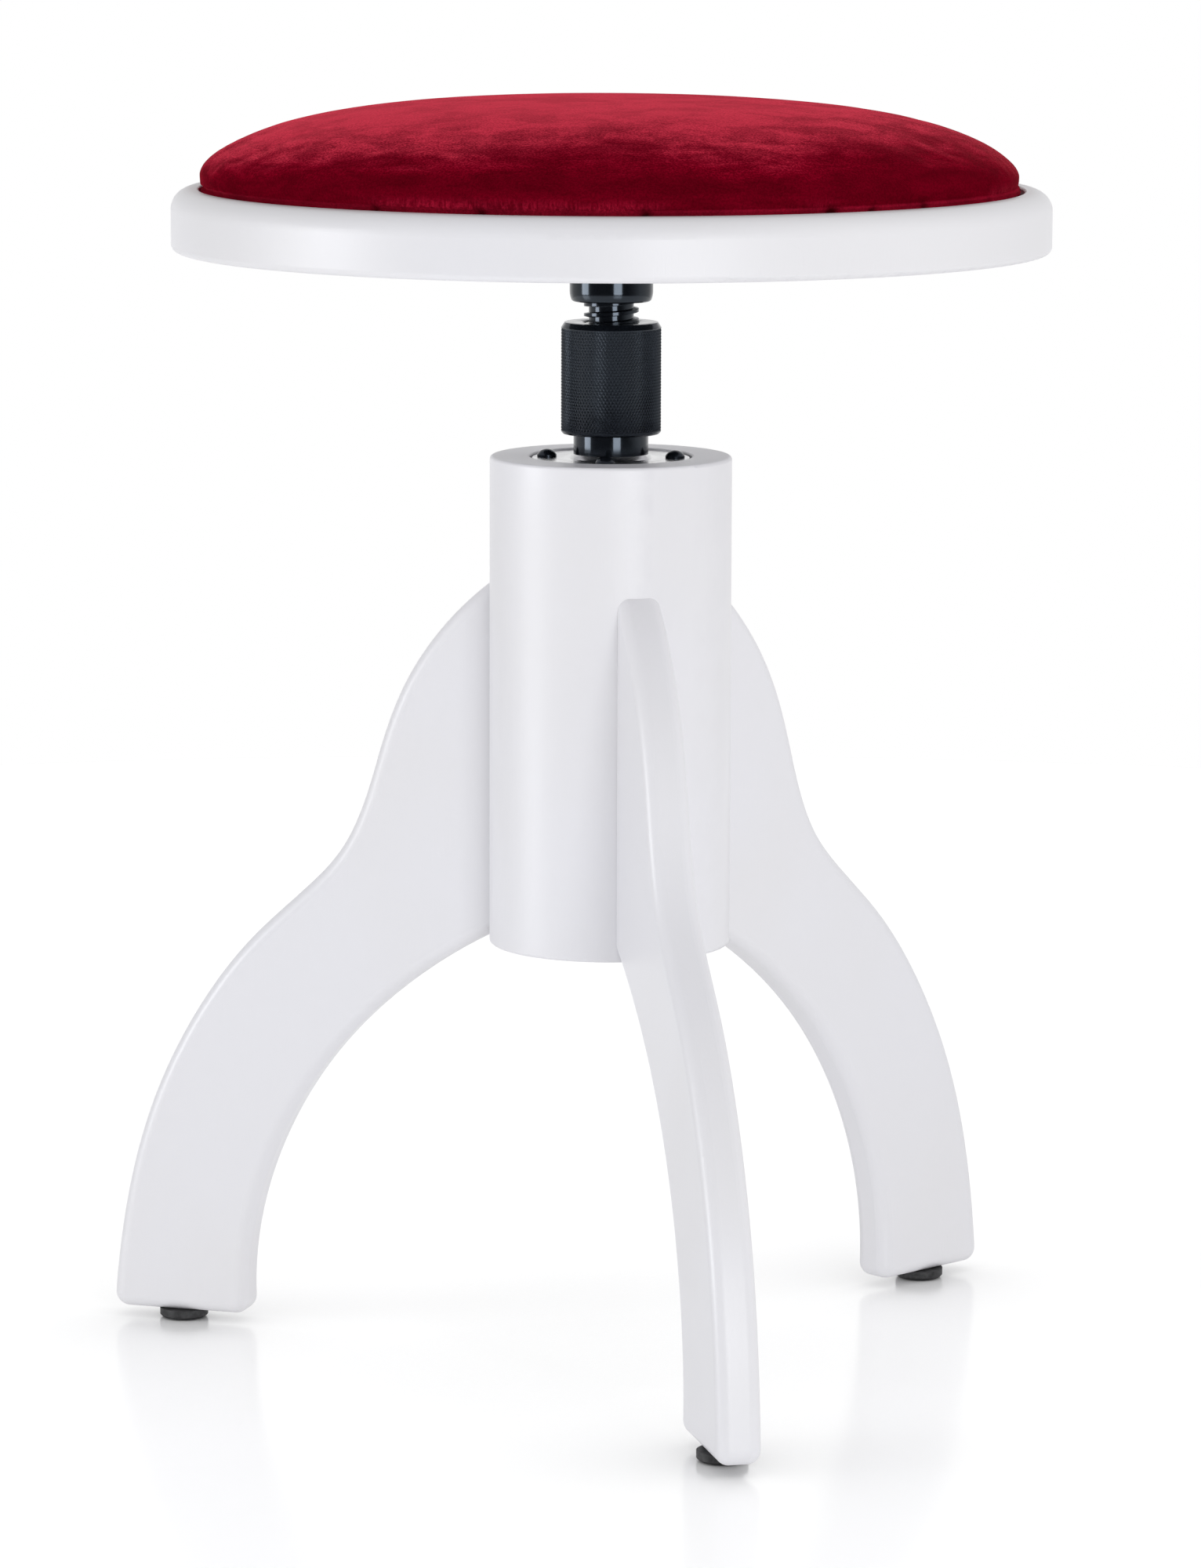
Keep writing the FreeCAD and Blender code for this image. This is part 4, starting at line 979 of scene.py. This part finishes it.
class PIANO_STOOL_OT_cushion(bpy.types.Operator):
    """Upholster the domed cushion: a stapled hem, simulated swell, puckers and velvet"""

    bl_idname = "piano_stool.cushion"
    bl_label = "Build Cushion"

    def execute(self, context):
        settings = context.scene.piano_stool_cushion
        columns = COVER_COLUMNS
        profile = self.crown_profile()
        rows = len(profile)
        underside, crest = rows * columns, rows * columns + 1
        points = np.vstack([lathe_points(profile, columns),
                            [(0, 0, profile[0][1]), (0, 0, cover_high.z)]])
        faces = lathe_faces(rows, columns)
        for column in range(columns):
            beside = (column + 1) % columns
            faces.append((underside, beside, column))
            faces.append((crest, (rows - 1) * columns + column, (rows - 1) * columns + beside))
        points = points + self.swell(context, points, faces, settings)
        points, folds = self.pucker(points, settings)
        cushion = new_object("cushion_velvet", self.off_centre(points, settings), faces)
        # The fold depth is kept for the velvet, which paints shade in the folds.
        depth = cushion.data.attributes.new("fold", "FLOAT", "POINT")
        depth.data.foreach_set("value", folds.astype(np.float32))
        dress(cushion, materials["velvet"])
        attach(cushion, "seat")
        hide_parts("cushion_cover", "cushion_foam")
        return {"FINISHED"}

    def crown_profile(self):
        """Radius and level pairs from the middle of the underside round to the top."""
        radius, top, floor = cover_high.x - COVER_INSET, cover_high.z, cover_low.z
        widest = top - DOME_RISE
        profile = [(20 * MM, floor), (80 * MM, floor), (145 * MM, floor),
                   (159 * MM, floor + 0.2 * MM), (161.8 * MM, floor + 1.6 * MM),
                   (HEM_RADIUS, floor + 4.0 * MM), (HEM_RADIUS, HEM_TOP - 0.4 * MM)]
        for share in np.linspace(0, 1, WALL_ROWS, endpoint=False):
            level = HEM_TOP + share * (widest - HEM_TOP)
            profile.append((radius - WALL_LEAN * (1 - share) ** 2.2, level))
        for step in range(DOME_ROWS):
            share = math.cos(math.pi / 2 * step / DOME_ROWS)
            height = (1 - share ** DOME_ROUNDNESS) ** (1 / DOME_SHOULDER)
            profile.append((radius * share, widest + (top - widest) * height))
        return profile

    def swell(self, context, points, faces, settings):
        """How a short cloth run moves the cover: foam pushes out, staples hold the hem."""
        shape = new_object("cover_in_tension", points, faces)
        context.view_layer.objects.active = shape
        remesh = shape.modifiers.new("Even Cloth", "REMESH")
        remesh.mode = "VOXEL"
        remesh.voxel_size = CLOTH_VOXEL
        bpy.ops.object.modifier_apply(modifier=remesh.name)
        before = mesh_points(shape.data)
        pins = self.pin_hem(shape, before, settings.staple_count)
        cloth = shape.modifiers.new("Stretched Cover", "CLOTH")
        for name, value in CLOTH.items():
            setattr(cloth.settings, name, value)
        cloth.settings.vertex_group_mass = pins.name
        cloth.settings.uniform_pressure_force = settings.pressure
        cloth.settings.effector_weights.gravity = 0
        cloth.collision_settings.use_collision = False
        cloth.point_cache.frame_start = 1
        cloth.point_cache.frame_end = CLOTH_FRAMES
        for step in range(1, CLOTH_FRAMES + 1):
            context.scene.frame_set(step)
        bpy.ops.object.modifier_apply(modifier=cloth.name)
        move = mesh_points(shape.data) - before
        context.scene.frame_set(1)
        bpy.data.objects.remove(shape)
        return even_out(points, before, move, settings.swell)

    def pin_hem(self, shape, points, staples):
        """Hold all below the ring's top, and above it let go between the staples."""
        pins = shape.vertex_groups.new(name="Hem Pins")
        angles = np.arctan2(points[:, 1], points[:, 0])
        above = np.clip((points[:, 2] - HEM_TOP) / PIN_REACH, 0, 1)
        held = 0.5 + 0.5 * np.cos(angles * staples)
        weights = np.where(above <= 0, 1.0, (1 - above) * held)
        for index in np.nonzero(weights > 0.01)[0].tolist():
            pins.add([index], float(weights[index]), "REPLACE")
        return pins

    def pucker(self, points, settings):
        """Narrow folds above some staples, with how deep each is, and hollows in the foam."""
        rng = np.random.default_rng(USE_SEED)
        angles = np.arctan2(points[:, 1], points[:, 0])
        outward = np.stack([np.cos(angles), np.sin(angles), np.zeros(len(points))], 1)
        rise = points[:, 2] - HEM_TOP
        pull = np.zeros(len(points))
        for staple in range(settings.staple_count):
            at = 2 * math.pi * (staple + rng.uniform(-0.3, 0.3)) / settings.staple_count
            depth = settings.pucker_depth * rng.uniform(0.15, 1.0) ** 3
            width = math.radians(rng.uniform(0.5, 1.0))
            reach = rng.uniform(3.0, 7.0) * MM
            lean = rng.uniform(-0.6, 0.6) / (163 * MM)
            apart = np.angle(np.exp(1j * (angles - at - lean * rise)))
            fold = np.exp(-(apart / width) ** 2) * np.clip(1 - rise / reach, 0, 1) ** 1.5
            pull += np.where(rise > -2 * MM, depth * fold, 0)
        hollow = np.zeros(len(points))
        for _ in range(HOLLOWS):
            at, out = rng.uniform(0, 2 * math.pi), rng.uniform(0.02, 0.155)
            size = rng.uniform(0.012, 0.035)
            centre = np.array([out * math.cos(at), out * math.sin(at)])
            apart = np.linalg.norm(points[:, :2] - centre, axis=1)
            hollow += rng.uniform(0, 0.5) * MM * np.exp(-(apart / size) ** 2)
        above = np.clip(rise / (6 * MM), 0, 1)
        # A pucker beside the board stops before it reaches the board's edge.
        room = np.hypot(points[:, 0], points[:, 1]) - board_high.x - BOARD_CLEARANCE
        inward = np.where(points[:, 2] < board_high.z + MM, np.clip(room, 0, None), pull)
        shaped = points - outward * np.minimum(pull, inward)[:, None]
        shaped[:, 2] -= hollow * above
        return shaped, np.clip(pull / settings.pucker_depth * 2, 0, 1)

    def off_centre(self, points, settings):
        """The cover is dragged to the left, apart from its pinched line at the ring's top."""
        pinch = (HEM_TOP + board_high.z) / 2
        share = np.clip((abs(points[:, 2] - pinch) - PINCH_WIDTH) / PINCH_RUN_OUT, 0, 1)
        return points - np.outer(share, (settings.play, 0, 0))


class PIANO_STOOL_PT_panel(bpy.types.Panel):
    """The stool's steps and settings"""

    bl_idname = "PIANO_STOOL_PT_panel"
    bl_label = "Piano Stool"
    bl_space_type = "VIEW_3D"
    bl_region_type = "UI"
    bl_category = "Piano Stool"

    def draw(self, context):
        for operator in OPERATORS:
            self.layout.operator(operator.bl_idname)
        for title, name, kind in SETTINGS:
            box = self.layout.box()
            box.label(text=title)
            for field in kind.__annotations__:
                box.prop(getattr(context.scene, name), field)


SETTINGS = [
    ("Camera", "piano_stool_camera", CameraSettings),
    ("Studio", "piano_stool_studio", StudioSettings),
    ("Lacquer", "piano_stool_lacquer", LacquerSettings),
    ("Steel", "piano_stool_steel", SteelSettings),
    ("Cushion", "piano_stool_cushion", CushionSettings),
]

# In the order in which they run
OPERATORS = [
    PIANO_STOOL_OT_camera,
    PIANO_STOOL_OT_studio,
    PIANO_STOOL_OT_materials,
    PIANO_STOOL_OT_wood,
    PIANO_STOOL_OT_metal,
    PIANO_STOOL_OT_plastic,
    PIANO_STOOL_OT_sleeve,
    PIANO_STOOL_OT_cushion,
]


def register():
    for _, name, kind in SETTINGS:
        bpy.utils.register_class(kind)
        setattr(bpy.types.Scene, name, PointerProperty(type=kind))
    for operator in OPERATORS:
        bpy.utils.register_class(operator)
    bpy.utils.register_class(PIANO_STOOL_PT_panel)


def unregister():
    bpy.utils.unregister_class(PIANO_STOOL_PT_panel)
    for operator in reversed(OPERATORS):
        bpy.utils.unregister_class(operator)
    for _, name, kind in reversed(SETTINGS):
        delattr(bpy.types.Scene, name)
        bpy.utils.unregister_class(kind)


def main():
    register()
    for operator in OPERATORS:
        group, name = operator.bl_idname.split(".")
        getattr(getattr(bpy.ops, group), name)()


if __name__ == "__main__":
    main()
